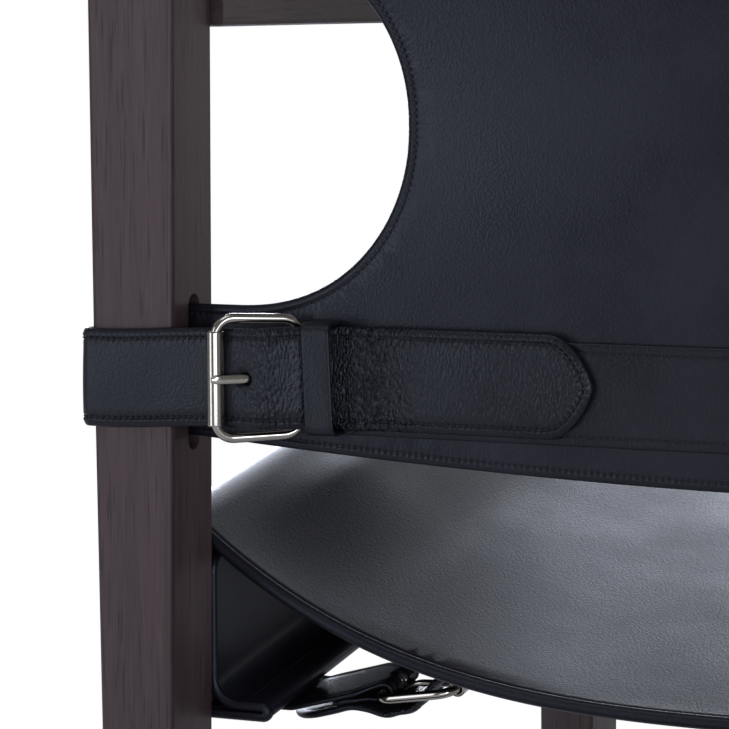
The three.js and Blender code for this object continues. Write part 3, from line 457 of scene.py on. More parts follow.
def cut_leather(name, outline, form, thickness, edge, stations, courses, holes=(), shape=None, creases=None,
                turns=None, row=STITCH_INSET, slant=0.0):
    """A piece of leather from its flat pattern: rounded edges all round, laid on its form, as one closed
    body. The outline runs counter-clockwise and the holes clockwise, in (u, v). `shape` gives the levels a
    relief, `turns` counts the stitches along the outline so that they pucker the leather, `row` is their
    distance from the edge, and `slant` leans the holes."""
    half = thickness / 2
    flat, faces, rim = [], [], []
    last_front, last_back, last_loops = [], [], []
    for loop in [outline, *holes]:
        size = len(loop)
        steps = edge if loop is outline else leather_edge(thickness)
        if slant and loop is not outline:
            steps = steps + [(half + reach, half, -half) for reach in HOLE_RINGS]
        rings = [(d, top) for d, top, _ in reversed(steps)] + [(d, low) for d, _, low in steps[1:]]
        first = sum(len(block) for block in flat)
        for depth, level in rings:
            moved = inset(loop, depth)
            levels = np.full(size, level)
            if loop is not outline:
                moved[:, 0] += slant * level * np.clip(1 - (depth - half) / HOLE_RINGS[-1], 0, 1)
            elif turns is not None:
                near = math.exp(-((depth - row) / PUCKER_REACH) ** 2)
                levels += PUCKER * near * math.copysign(1, level) * np.cos(2 * math.pi * turns)
            flat.append(np.column_stack([moved, levels]))
            rim.append(np.full(size, depth))
        for k in range(len(rings) - 1):
            for i in range(size):
                j = (i + 1) % size
                a, b = first + k * size, first + (k + 1) * size
                faces.append((a + i, b + i, b + j, a + j))
        last_loops.append(inset(loop, steps[-1][0]))
        last_front.append(np.arange(first, first + size))
        last_back.append(np.arange(first + (len(rings) - 1) * size, first + len(rings) * size))
    spots = np.array([(u, v) for u in stations for v in courses])
    keep = inside(spots, last_loops[0]) & away_from(spots, last_loops[0], EDGE_CLEAR)
    for loop in last_loops[1:]:
        keep &= ~inside(spots, loop) & away_from(spots, loop, EDGE_CLEAR)
    spots = spots[keep]
    rows = sum(len(block) for block in flat)
    count = len(spots)
    for level in (half, -half):
        flat.append(np.column_stack([spots, np.full(count, level)]))
        rim.append(np.full(count, 3 * edge[-1][0]))
    to_front = np.concatenate([*last_front, np.arange(rows, rows + count)])
    to_back = np.concatenate([*last_back, np.arange(rows + count, rows + 2 * count)])
    fences, start = [], 0
    for loop in last_loops:
        fences += [(start + i, start + (i + 1) % len(loop)) for i in range(len(loop))]
        start += len(loop)
    coords = [Vector(p) for p in np.concatenate([*last_loops, spots])]
    found, _, triangles, sources, _, _ = delaunay_2d_cdt(coords, fences, [], 1, 1e-6)
    middles = np.array([np.mean([found[i] for i in triangle], axis=0) for triangle in triangles])
    in_hole = np.zeros(len(triangles), bool)
    for loop in last_loops[1:]:
        in_hole |= inside(middles, loop)
    for triangle, dropped in zip(triangles, in_hole):
        if dropped:
            continue
        picked = [sources[i][0] for i in triangle]
        faces.append(tuple(int(to_front[i]) for i in picked))
        faces.append(tuple(int(to_back[i]) for i in reversed(picked)))
    flat, rim = np.concatenate(flat), np.concatenate(rim)
    if shape is not None:
        flat[:, 2] = shape(*flat.T, rim)
    mesh = bpy.data.meshes.new(name)
    mesh.from_pydata(form.lay(flat).tolist(), [], faces)
    mesh.attributes.new("rim", "FLOAT", "POINT").data.foreach_set("value", rim / 1000)
    strength = np.zeros(len(flat)) if creases is None else creases(flat[:, 0])
    mesh.attributes.new("crease", "FLOAT", "POINT").data.foreach_set("value", strength)
    layer = mesh.uv_layers.new(name="pattern")
    corners = np.zeros(len(mesh.loops), int)
    mesh.loops.foreach_get("vertex_index", corners)
    layer.data.foreach_set("uv", (flat[corners, :2] / 1000).ravel())
    return closed_piece(name, mesh)


def closed_piece(name, mesh, sharp=None):
    """An object of a closed mesh, with its faces pointing outwards and smooth up to the sharp angle."""
    bm = bmesh.new()
    bm.from_mesh(mesh)
    bmesh.ops.recalc_face_normals(bm, faces=bm.faces)
    for face in bm.faces:
        face.smooth = True
    if sharp:
        for edge in bm.edges:
            edge.smooth = len(edge.link_faces) == 2 and edge.calc_face_angle(0) < sharp
    bm.to_mesh(mesh)
    bm.free()
    return add_object(name, mesh)


def add_object(name, data):
    obj = bpy.data.objects.new(name, data)
    bpy.context.scene.collection.objects.link(obj)
    return obj


def dress(obj, material, nodes=(), body="chair"):
    """Gives a piece its finish and its place on a body, and hides the solids that it stands for."""
    obj.data.materials.clear()
    obj.data.materials.append(material)
    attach(obj, body)
    if nodes:
        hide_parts(*nodes)
    return obj


def strip_outline(length, half, tip, tip_at_start=False, pitch=1.5):
    """The flat pattern of a strap: straight sides, a plain end with eased corners and a pointed end."""
    plain = [(0, half, PATTERN_CORNER), (0, -half, PATTERN_CORNER)]
    shoulder = length - tip
    hip = shoulder + tip * TIP_FULLNESS
    share = np.linspace(0, TIP_BLUNT, 21)[:, None]
    low, bend, point = (np.array(p, float) for p in ((shoulder, -half), (hip, -half), (length, 0)))
    curve = low * (1 - share) ** 2 + bend * 2 * share * (1 - share) + point * share**2
    last = curve[-1]
    end = rounded([(*last, 0), (length, 0, PATTERN_CORNER + 1), (last[0], -last[1], 0)])[1:-1]
    back = curve[::-1] * (1, -1)
    root = rounded([(shoulder, half, 0), *plain, (shoulder, -half, 0)])[1:-1]
    line = np.concatenate([root, curve, end, back])
    if tip_at_start:
        line = (line * (-1, 1) + (length, 0))[::-1]
    return spaced(line, pitch, closed=True)


def slot_loop(middle, length, half, pitch=0.8):
    """A round-ended hole along u, clockwise."""
    reach = max(length / 2, half + 0.2)
    ends = ((-reach, -half), (-reach, half), (reach, half), (reach, -half))
    corners = [(middle + u, v, half * 0.98) for u, v in ends]
    return spaced(rounded(corners, math.radians(20)), pitch, closed=True)


def puffed(u, v, h, rim, puff, rows):
    """Levels of a strap whose outer face is lifted by its filling and is a little uneven."""
    lift = puff * (1 - (v / PUFF_HALF) ** 2) + waves(u, v, rows)
    return h + np.where(h > 0, lift * np.clip(rim / PUFF_RIM, 0, 1), 0)


def steps_along(run, wide=4.0, bend=0.06):
    """Stations along a run: close together where it bends, wider where it is straight."""
    stations = [0.0]
    turned = 0.0
    for i in range(1, len(run.reach)):
        turned += math.acos(np.clip(run.side[i - 1] @ run.side[i], -1, 1))
        if run.reach[i] - stations[-1] >= wide or turned > bend:
            stations.append(run.reach[i])
            turned = 0.0
    return np.array(stations)


# Sewing

stitch_rows = {}


def sew(group, form, line, level, closed=False):
    """Notes a row of stitches that follows a line of a pattern, at a level above its middle."""
    line = np.asarray(line, float)
    flat = np.column_stack([line, np.full(len(line), level)])
    sign = 1 if level > 0 else -1
    stitch_rows.setdefault(group, []).append((form.lay(flat), sign * form.facing(flat), closed))


def between(line, low, high):
    """The part of a line whose u lies between two values, as one open line."""
    keep = (line[:, 0] > low) & (line[:, 0] < high)
    if keep.all():
        return line
    start = int(np.argmax(keep & ~np.roll(keep, 1)))
    line, keep = np.roll(line, -start, 0), np.roll(keep, -start)
    return line[:int(np.argmin(keep))]


def stitch_turns(row, start=0, length=None):
    """How many stitches lie between one point of a closed row and each of the others. `length` is that of
    the sewn part."""
    steps = np.roll(np.linalg.norm(np.roll(row, -1, 0) - row, axis=1), -start)
    reach = np.concatenate([[0], np.cumsum(steps)[:-1]])
    length = length or steps.sum()
    return np.roll(reach, start) * int(length / STITCH_PITCH) / length


def line_length(line):
    return np.sum(np.linalg.norm(np.diff(line, axis=0), axis=1))


# Back panel

def panel_outline():
    reach = HALF * (1 - np.arange(40) / 40)
    fall = PANEL_DROP * (1 - (1 - reach / HALF) ** PANEL_DROP_POWER)
    line = [*np.column_stack([reach - HALF, WING_LOW - fall])]
    end = -HALF - POST_WIDTH + WING_SETBACK
    line += [*rounded([(-HALF, WING_LOW, 0), (end, WING_LOW, WING_CORNER), (end, WING_HIGH, WING_CORNER),
                       (-HALF, WING_HIGH, 0)])]
    angle = math.pi * (np.arange(81) / 160 - 0.5)
    out = CUTOUT_REACH * np.maximum(np.cos(angle), 0) ** (2 / CUTOUT_POWER)
    up = (STRAP_RISE / 2 - WING_HIGH) * np.abs(np.sin(angle)) ** (2 / CUTOUT_POWER)
    line += [*np.column_stack([CUTOUT_START + out - HALF, STRAP_RISE / 2 - up])]
    lower = np.array(line)
    upper = lower[:-1][::-1] * (1, -1) + (0, STRAP_RISE)
    left = np.concatenate([lower, upper])
    right = left[1:-1][::-1] * (-1, 1)
    return spaced(np.concatenate([left, right]), 0.8, closed=True)[::-1]


PANEL_EDGE = leather_edge(PANEL_THICKNESS, STITCH_INSET, 0.4, 0.1, reach=EDGE_ROUND)
STRAP_EDGE = leather_edge(STRAP_THICKNESS, STITCH_INSET, 0.55, 0.2, reach=EDGE_ROUND)
BAND_EDGE = leather_edge(BAND_THICKNESS, STITCH_INSET, 0.3, 0.06)
SLING_EDGE = rolled_edge(SLING_THICKNESS, ROLL_BEAD)
PLAIN_EDGE = leather_edge(KEEPER_THICKNESS)


def make_panel():
    outline = panel_outline()
    form = Flat()
    row = inset(outline, STITCH_INSET)
    obj = cut_leather("leather_back_panel", outline, form, PANEL_THICKNESS, PANEL_EDGE,
                      PANEL_GRID * np.arange(-38, 39), PANEL_GRID * np.arange(-5, 34),
                      turns=stitch_turns(row))
    for level in (PANEL_THICKNESS / 2 - THREAD_SUNK, THREAD_SUNK - PANEL_THICKNESS / 2):
        sew("panel", form, row, level, closed=True)
    return obj, outline


# Straps and bands of the back

def back_toe(centre):
    rear = max(post_section(centre - STRAP_WIDTH / 2)[1], post_section(centre + STRAP_WIDTH / 2)[1]) / 2
    level = -rear - POST_GAP - STRAP_THICKNESS - FIT - ROLLER - HEEL_Y
    return np.array([-math.sqrt(BUCKLE_LENGTH**2 - level**2), level])


def prong_way(toe, lift=0.0):
    rest = math.asin((ROLLER + FIT + PRONG_THICKNESS / 2) / BUCKLE_LENGTH)
    return spun(unit(toe), rest + lift)


def billet_line(toe, tip, crest):
    """A fastened strap on edge: under the roller, over the heel bar and the band's turned end, to its tip."""
    under = toe[1] + ROLLER + STRAP_STEP
    rise = [(toe[0] * a, lerp(under, -OVER_HEEL, share) - BILLET_CREST * bulge)
            for a, bulge, share in crest]
    fall = [(TURN_BACK * 0.3, lerp(-OVER_HEEL, ON_TURN, 0.6)), (TURN_BACK * 0.6, ON_TURN),
            (TURN_BACK, ON_TURN), (TURN_BACK * 1.5, lerp(ON_TURN, ON_BAND, 0.9)), (TURN_BACK * 1.9, ON_BAND)]
    return [(toe[0], under), *rise, (0, -OVER_HEEL), *fall, (tip, ON_BAND)]


def prong_hole(run, heel, toe, turn=np.eye(2)):
    """Where the prong passes through a strap: middle and length along the strap, and the prong's slant."""
    local = (run.line - heel) @ turn
    hits = []
    for lift in (0, PRONG_LIFT):
        way = prong_way(toe, lift)
        along = local @ way
        off = np.abs(local @ np.array([-way[1], way[0]]))
        hits.append((along > HOLE_START) & (along < PRONG_LENGTH) & (off < PRONG_THICKNESS / 2 + 0.3))
    spots = run.reach[hits[0] | hits[1]]
    middle = (spots.min() + spots.max()) / 2
    i = int(np.argmin(np.abs(run.reach - middle)))
    way = turn @ prong_way(toe, PRONG_LIFT / 2)
    slant = (way @ unit(run.line[i + 1] - run.line[i - 1])) / (way @ run.side[i])
    return middle, spots.max() - spots.min(), slant


def back_strap_run(centre, toe, way):
    low, high = post_section(centre - STRAP_WIDTH / 2), post_section(centre + STRAP_WIDTH / 2)
    outer = POST_X - max(low[0], high[0]) / 2 - POST_GAP - STRAP_THICKNESS / 2
    inner = POST_X + min(low[0], high[0]) / 2
    root = -STRAP_THICKNESS / 2
    rear = HEEL_Y + toe[1] + ROLLER + STRAP_STEP
    wrap = rounded([(inner - STRAP_ROOT, root, 0), (outer, root, STRAP_BEND), (outer, rear, STRAP_BEND),
                    (POST_X, rear, 0)])
    billet = [(x + HEEL_X, y + HEEL_Y) for x, y in billet_line(toe, TIP_REACH - HEEL_REACH, BACK_CREST)]
    line = np.concatenate([wrap[:-1], flowing([(inner - 14, rear), (inner, rear), *billet])])
    run = Run(line, np.array([0, 0, centre + STRAP_LIFT]), AXIS_X * way, AXIS_Y, AXIS_Z, out=-1)
    dropped = run.length - TIP_REACH + WIDEN_START
    run.drift = lambda u: -ROOT_DROP * eased((dropped - u) / DROP_REACH)
    return run


def make_back_strap(level, side, centre):
    toe = back_toe(centre)
    run = back_strap_run(centre, toe, SIDES[side])
    leaves_post = run.length - TIP_REACH
    outline = strip_outline(run.length, STRAP_WIDTH / 2, tip=TIP_LENGTH, pitch=0.75)
    widened = eased((outline[:, 0] - leaves_post - WIDEN_START) / WIDEN_REACH)
    outline[:, 1] *= lerp(ROOT_NARROW, BILLET_WIDE, widened)
    middle, length, slant = prong_hole(run, np.array([HEEL_X, HEEL_Y]), toe)
    hole = slot_loop(middle, length, PRONG_WIDTH / 2 + PRONG_PLAY)

    def shape(u, v, h, rim):
        return puffed(u, v, h, rim, PUFF, BACK_STRAP_WAVES)

    def creases(u):
        past = u - leaves_post
        bent = sum(strength * np.exp(-((past - place) / spread) ** 2)
                   for strength, place, spread in BACK_CREASES)
        return np.clip(bent + FAINT_CREASE * (past > FAINT_START), 0, 1)

    closed_row = inset(outline, STITCH_INSET)
    row = between(closed_row, leaves_post - POST_WIDTH - ROW_BEFORE_POST, run.length + 1)
    start = int(np.argmin(np.linalg.norm(closed_row - row[0], axis=1)))
    obj = cut_leather(f"leather_back_strap_{level}_{side}", outline, run, STRAP_THICKNESS, STRAP_EDGE,
                      steps_along(run), STRAP_COURSES, [hole], shape, creases,
                      turns=stitch_turns(closed_row, start, line_length(row)), slant=slant)
    sew(f"straps_{level}", run, row, STRAP_THICKNESS / 2 - THREAD_SUNK)
    sew(f"straps_{level}", run, row, -STRAP_THICKNESS / 2)
    return obj


def fold_line():
    """A band's end on edge, from its turned-back end to the far side of the heel bar."""
    turn = flowing([(TURN_BACK * a, lerp(TURN_LEVEL, -FOLD, rise)) for a, rise in TURN_SHAPE])
    return np.concatenate([turn, arc((0, 0), FOLD, -math.pi / 2 - math.pi * np.arange(1, 25) / 24)])


def necking(fold, shift=0.0):
    """How a band narrows to a neck where it folds: places along it, half widths and shifts sideways."""
    half, neck = BAND_WIDTH / 2, BAND_NECK / 2
    return [(fold - FLARE_REACH, half, 0), (fold - NECK_REACH, neck, shift), (fold + NECK_REACH, neck, shift),
            (fold + FLARE_REACH, half, 0)]


def band_outline(ends):
    upper = [(u, shift + half, PATTERN_CORNER) for u, half, shift in ends]
    lower = [(u, shift - half, PATTERN_CORNER) for u, half, shift in ends]
    return spaced(rounded([*lower, *reversed(upper)]), 1.5, closed=True)


def fold_slot(fold):
    """The slot in a fold through which the prong comes."""
    gap = WIRE + RUN_FIT + PRONG_WALL + PRONG_PLAY
    return slot_loop(fold, 2 * gap + FOLD_SLOT_ROOM, PRONG_WIDTH / 2 + PRONG_PLAY)


def make_back_band(level, centre):
    left = fold_line() + (HEEL_X, HEEL_Y)
    line = np.concatenate([left, (left * (-1, 1))[::-1]])
    run = Run(line, np.array([0, 0, centre + BAND_LIFT]), AXIS_X, AXIS_Y, AXIS_Z, out=-1)
    fold = run.reach[np.argmin(run.line[:, 0])]
    shift = STRAP_LIFT - BAND_LIFT
    ends = [(0, BAND_WIDTH / 2, 0), *necking(fold, shift)]
    ends += [(run.length - u, half, moved) for u, half, moved in reversed(ends)]
    hole = fold_slot(fold) + (0, shift)
    holes = [hole, (hole * (-1, 1) + (run.length, 0))[::-1]]
    obj = cut_leather(f"leather_back_band_{level}", band_outline(ends), run, BAND_THICKNESS, BAND_EDGE,
                      steps_along(run, 6), BAND_COURSES, holes)
    start = fold + BAND_ROW_START
    span = np.linspace(start, run.length - start, 200)
    for v in (BAND_WIDTH / 2 - STITCH_INSET, STITCH_INSET - BAND_WIDTH / 2):
        sew("bands", run, np.column_stack([span, np.full(200, v)]), BAND_THICKNESS / 2 - THREAD_SUNK / 2)
    return obj


def keeper_outline(length):
    corner, end = KEEPER_THICKNESS + 0.4, KEEPER_START + KEEPER_WIDTH
    return spaced(rounded([(0, KEEPER_START, corner), (length, KEEPER_START, corner), (length, end, corner),
                           (0, end, corner)]), 1.2, closed=True)


def make_back_keeper(level, side, centre):
    half = KEEPER_HALF + KEEPER_THICKNESS / 2
    bridge = -KEEPER_RISE - KEEPER_THICKNESS / 2
    line = rounded([(-half, -HEEL_Y, 0), (-half, bridge, KEEPER_CORNER), (half, bridge, KEEPER_CORNER),
                    (half, -HEEL_Y, 0)])
    way = SIDES[side]
    origin = np.array([way * HEEL_X, HEEL_Y, centre + STRAP_LIFT])
    run = Run(line, origin, AXIS_Z, AXIS_Y, AXIS_X * way, out=-1, lean=-KEEPER_LEAN)
    outline = keeper_outline(run.length)
    courses = KEEPER_START + np.arange(2.5, KEEPER_WIDTH - 2, 2.9)

    def shape(u, v, h, rim):
        return h + waves(u, v, KEEPER_WAVES) * np.clip(rim / 4, 0, 1)

    return cut_leather(f"leather_back_keeper_{level}_{side}", outline, run, KEEPER_THICKNESS, PLAIN_EDGE,
                       steps_along(run, 3), courses, shape=shape)


# Seat sling and the straps underneath

SLING_MIDDLE = RAIL_WIDTH / 2 + FIT + SLING_THICKNESS / 2
RAIL_TOP = -(SLING_THICKNESS + FIT)
RAIL_CENTRE = RAIL_TOP - RAIL_WIDTH / 2
SAG_X = POST_X + SLING_MIDDLE * math.sin(SAG_ANGLE)
SAG_TOP = RAIL_CENTRE + SLING_MIDDLE * math.cos(SAG_ANGLE)
FLAP_LEVEL = RAIL_TOP - RAIL_HEIGHT - FIT - SLING_THICKNESS / 2
FLAP_END = POST_X + FLAP_REACH
SAG_POWER = math.tan(SAG_ANGLE) * -SAG_X / SAG_DEPTH
LEG_BACK = LEG_SPACING - FOOT_DEPTH / 2
SEAT_LENGTH = (LEG_BACK - POST_FRONT) / math.cos(RAIL_TILT)


def sag_level(x):
    share = 1 - np.abs(x) / -SAG_X
    return SAG_TOP - SAG_DEPTH * (1 - (1 - share) ** SAG_POWER)


def rear_end(level):
    """The sling ends just in front of the upright posts, whatever its level."""
    return (SLING_GAP + level * math.sin(RAIL_TILT)) / math.cos(RAIL_TILT)


def front_end(level):
    return SEAT_LENGTH + (level * math.sin(RAIL_TILT) - SLING_GAP) / math.cos(RAIL_TILT)


def seat_run(line, y, out):
    return Run(line, TILTED_ORIGIN + TILTED_Y * y, AXIS_X, TILTED_Z, TILTED_Y, out)


def make_sling():
    outer, inner = POST_X - SLING_MIDDLE, POST_X + SLING_MIDDLE
    fold = (SLING_THICKNESS + HEM_GAP) / 2
    turned_back = FLAP_LEVEL + 2 * fold
    lining = rounded([(inner, -LINING_DROP, 0), (inner, turned_back, LINING_BEND),
                      (FLAP_END, turned_back, 0)])
    hem = arc((FLAP_END, FLAP_LEVEL + fold), fold, math.pi * (0.5 - np.arange(1, 16) / 16))
    under = rounded([(FLAP_END, FLAP_LEVEL, 0), (outer, FLAP_LEVEL, ARRIS + SLING_THICKNESS / 2),
                     (outer, RAIL_CENTRE, 0)])
    angles = math.pi - (math.pi / 2 + SAG_ANGLE) * np.arange(1, 25) / 24
    over = arc((POST_X, RAIL_CENTRE), SLING_MIDDLE, angles)
    x = SAG_X * (1 - np.arange(1, 61) / 60)
    sag = np.column_stack([x, sag_level(x)])
    left = np.concatenate([lining, hem, under, over, sag])
    run = seat_run(np.concatenate([left, (left[:-1] * (-1, 1))[::-1]]), 0, out=1)
    hem_at = run.reach[np.argmax(run.line[: len(run.line) // 4, 0])]
    leaves_rail = run.length / 2 - line_length(sag)
    corner = SLING_CORNER
    u = np.linspace(2 * corner, run.length - 2 * corner, 400)
    levels = run.at(u)[:, 1]
    ends = []
    for end in (rear_end, front_end):
        top = end(-LINING_DROP)
        cut = [(a, end(z), 0) for a, z in zip(u, levels)]
        ends.append([(0, top, corner), *cut, (run.length, top, corner)])
    outline = spaced(rounded([*ends[0], *reversed(ends[1])]), 1.0, closed=True)

    def shape(u, v, h, rim):
        half = SLING_THICKNESS / 2
        reach = np.minimum(u, run.length - u)
        seat = reach - leaves_rail
        ripple = waves(u, v, ((0.5, 47, 61, np.sin(u / 73)), (0.4, -88, 39, np.sin(v / 57))))
        ripple = ripple * np.clip(seat / RIPPLE_REACH, 0, 1) * np.clip(rim / RIPPLE_RIM, 0, 1)
        bead = lerp(-half, h, np.clip(seat / BEAD_REACH, 0, 1))
        h = np.where(h < -half, bead, h + np.where(h > 0, ripple, 0))
        beyond = seat + SLING_MIDDLE * SAG_ANGLE
        from_ends = eased((np.minimum(v, SEAT_LENGTH - v) - SHOULDER_INSET) / SHOULDER_RISE)
        bridged = from_ends * eased(beyond / SHOULDER_WIDTH) * eased((SHOULDER_END - beyond) / SHOULDER_FADE)
        plain = np.where(rim > half, np.sign(h) * half, np.clip(h, -half, half))
        return np.where(reach < hem_at, plain, h + SHOULDER_LIFT * bridged)

    closed_row = inset(outline, ROLL_ROW)
    sewn_part = (closed_row[:, 0] > hem_at) & (closed_row[:, 0] < run.length - hem_at)
    at_rear = sewn_part & (closed_row[:, 1] < SEAT_LENGTH / 2)
    at_front = sewn_part & (closed_row[:, 1] > SEAT_LENGTH / 2)
    turns = stitch_turns(closed_row, int(np.argmax(at_rear)), line_length(closed_row[at_rear]))
    courses = np.arange(rear_end(FLAP_LEVEL), front_end(0), SLING_GRID)
    obj = cut_leather("leather_seat_sling", outline, run, SLING_THICKNESS, SLING_EDGE,
                      steps_along(run, SLING_GRID), courses, shape=shape, turns=turns, row=ROLL_ROW)
    for part in (at_rear, at_front):
        sew("sling", run, closed_row[part], SLING_THICKNESS / 2 - ROLL_SUNK)
        sew("sling", run, closed_row[part], -SLING_THICKNESS / 2)
    span = np.linspace(rear_end(FLAP_LEVEL) + HEM_SETBACK, front_end(FLAP_LEVEL) - HEM_SETBACK, 120)
    for u in (hem_at - fold * math.pi / 2 - HEM_ROW, hem_at + fold * math.pi / 2 + HEM_ROW):
        for end in (u, run.length - u):
            sew("sling", run, np.column_stack([np.full(120, end), span]), SLING_THICKNESS / 2)
    return obj, outline


def under_flap(thickness, along):
    return np.array([FLAP_END + along, FLAP_LEVEL - SLING_THICKNESS / 2 - FIT - thickness / 2])


HEM_RUN = SLING_THICKNESS
TAB_ALONG = np.array([-math.cos(SEAT_TAB_TILT), -math.sin(SEAT_TAB_TILT)])
TAB_IN = np.array([TAB_ALONG[1], -TAB_ALONG[0]])
SEAT_HEEL = under_flap(BAND_THICKNESS, HEM_RUN) - TAB_ALONG * SEAT_TAB_FREE - TAB_IN * FOLD
SEAT_TOE = np.array([-math.sqrt(BUCKLE_LENGTH**2 - SEAT_TOE_DROP**2), -SEAT_TOE_DROP])


def on_tab(points):
    points = np.asarray(points, float)
    return SEAT_HEEL + points[:, :1] * TAB_ALONG + points[:, 1:] * TAB_IN


def make_seat_tab(place, y):
    sewn, bend = under_flap(BAND_THICKNESS, -SEAT_TAB_SEWN), under_flap(BAND_THICKNESS, HEM_RUN)
    heel = on_tab([(0, FOLD)])[0]
    start = rounded([(*sewn, 0), (*bend, SEAT_TAB_BEND), (*heel, 0)])[:-1]
    run = seat_run(np.concatenate([start, on_tab(fold_line()[::-1])]), y, out=-1)
    fold = run.reach[np.argmax(run.line[:, 0])]
    half = BAND_WIDTH / 2
    outline = band_outline([(0, half, 0), *necking(fold), (run.length, half, 0)])
    obj = cut_leather(f"leather_seat_tab_{place}", outline, run, BAND_THICKNESS, BAND_EDGE, steps_along(run),
                      BAND_COURSES, [fold_slot(fold)])
    row = between(inset(outline, STITCH_INSET), -1, SEAT_TAB_SEWN - 2)
    sew("seat_straps", run, row, BAND_THICKNESS / 2 - THREAD_SUNK / 2)
    return obj


def make_seat_strap(place, y):
    to_tip = billet_line(SEAT_TOE, SEAT_TIP, SEAT_CREST)[:-3]
    fastened = on_tab([(SEAT_TIP, ON_TURN), *reversed(to_tip)])
    x = SEAT_CATCH * (2 * np.arange(9) / 8 - 1)
    under_seat = np.column_stack([x, sag_level(x) - SLING_THICKNESS / 2 - STRAP_STEP - FIT])
    bend, sewn = under_flap(STRAP_THICKNESS, HEM_RUN), under_flap(STRAP_THICKNESS, -SEAT_TAB_SEWN)
    rise = bend - TAB_ALONG * SEAT_TAB_FREE
    joined = rounded([(-rise[0], rise[1], 0), (-bend[0], bend[1], SEAT_TAB_BEND), (-sewn[0], sewn[1], 0)])
    line = np.concatenate([flowing([*fastened, *under_seat, joined[0]])[:-1], joined])
    run = seat_run(line, y, out=-1)
    outline = strip_outline(run.length, STRAP_WIDTH / 2, tip=TIP_LENGTH, tip_at_start=True)
    turn = np.column_stack([TAB_ALONG, TAB_IN])
    middle, length, slant = prong_hole(run, SEAT_HEEL, SEAT_TOE, turn)
    hole = slot_loop(middle, length + abs(slant) * STRAP_THICKNESS, PRONG_WIDTH / 2 + PRONG_PLAY)

    def shape(u, v, h, rim):
        return puffed(u, v, h, rim, SEAT_PUFF, SEAT_STRAP_WAVES)

    def creases(u):
        return np.exp(-((u - middle) / SEAT_CREASE_SPREAD) ** 2)

    obj = cut_leather(f"leather_seat_strap_{place}", outline, run, STRAP_THICKNESS, STRAP_EDGE,
                      steps_along(run), STRAP_COURSES, [hole], shape, creases)
    row = inset(outline, STITCH_INSET)
    sew("seat_straps", run, row, STRAP_THICKNESS / 2 - THREAD_SUNK, closed=True)
    sew("seat_straps", run, between(row, SEAT_TIP * 2, run.length - 40), -STRAP_THICKNESS / 2)
    return obj


# Hardware, drawn in a buckle's own frame: from the heel bar along the folded band, towards the leather, and
# along the bars.

class Spot:
    """Where a buckle sits: its heel bar and the directions of its own frame."""

    def __init__(self, heel, along, inward, bars):
        self.heel, self.along, self.inward, self.bars = heel, along, inward, bars

    def place(self, points):
        points = np.asarray(points, float)
        return to_chair(self.heel + points[:, :1] * self.along + points[:, 1:2] * self.inward
                        + points[:, 2:] * self.bars)


def skin(name, rings, closed=False, sharp=None):
    """Rings of points joined into one closed body, with flat ends or as a loop."""
    sides = len(rings[0])
    faces = []
    for k in range(len(rings) if closed else len(rings) - 1):
        a, b = k * sides, (k + 1) % len(rings) * sides
        faces += [(a + i, a + (i + 1) % sides, b + (i + 1) % sides, b + i) for i in range(sides)]
    if not closed:
        faces += [tuple(range(sides)), tuple(range((len(rings) - 1) * sides, len(rings) * sides))]
    mesh = bpy.data.meshes.new(name)
    mesh.from_pydata(np.concatenate(rings).tolist(), [], faces)
    return closed_piece(name, mesh, sharp)


def make_buckle(name, spot, toe):
    away = -unit(toe)
    normal = np.array([-away[1], away[0]])
    line = spaced(rounded([(0, HEEL_HALF, HEEL_CORNER), (-BUCKLE_LENGTH, TOE_HALF, TOE_CORNER),
                           (-BUCKLE_LENGTH, -TOE_HALF, TOE_CORNER), (0, -HEEL_HALF, HEEL_CORNER)],
                          math.radians(9)), 4.0, closed=True)
    ahead = unit(np.roll(line, -1, 0) - np.roll(line, 1, 0))
    rings = []
    for (p, w), (dp, dw) in zip(line, ahead):
        ring = []
        for a in np.arange(20) * math.pi / 10:
            flat = p + dw * WIRE * math.cos(a)
            bar = w - dp * WIRE * math.cos(a)
            ring.append((*(away * flat + normal * WIRE * math.sin(a)), bar))
        rings.append(spot.place(ring))
    return skin(name, rings, closed=True)


def make_roller(name, spot, toe):
    """A rolled sleeve with rounded rims and the thin seam where its sheet meets."""
    bore, half, lip, out = WIRE + RUN_FIT, ROLLER_LENGTH / 2, 0.4, ROLLER_SKIN
    profile = [(bore, -half + 0.2), (bore + 0.2, -half), (out - lip, -half), (out - 0.12, -half + 0.12),
               (out, -half + lip), (out, -half + lip + 0.2)]
    profile += [(out, w) for w in np.linspace(-half + 4, half - 4, 9)]
    profile += [(r, -w) for r, w in reversed(profile[:6])]
    profile += [(bore, w) for w in np.linspace(half - 4, -half + 4, 5)]
    seam = math.radians(70)
    angles = [*np.linspace(seam + 0.06, seam + 2 * math.pi - 0.06, 47), seam + 2 * math.pi]
    rings = []
    for i, a in enumerate(angles):
        dip = ROLLER_SEAM if i == len(angles) - 1 else 0.0
        ring = []
        for r, w in profile:
            r -= dip * (r > bore + 0.3)
            ring.append((toe[0] + r * math.cos(a), toe[1] + r * math.sin(a), w))
        rings.append(spot.place(ring))
    return skin(name, rings, closed=True, sharp=math.radians(40))


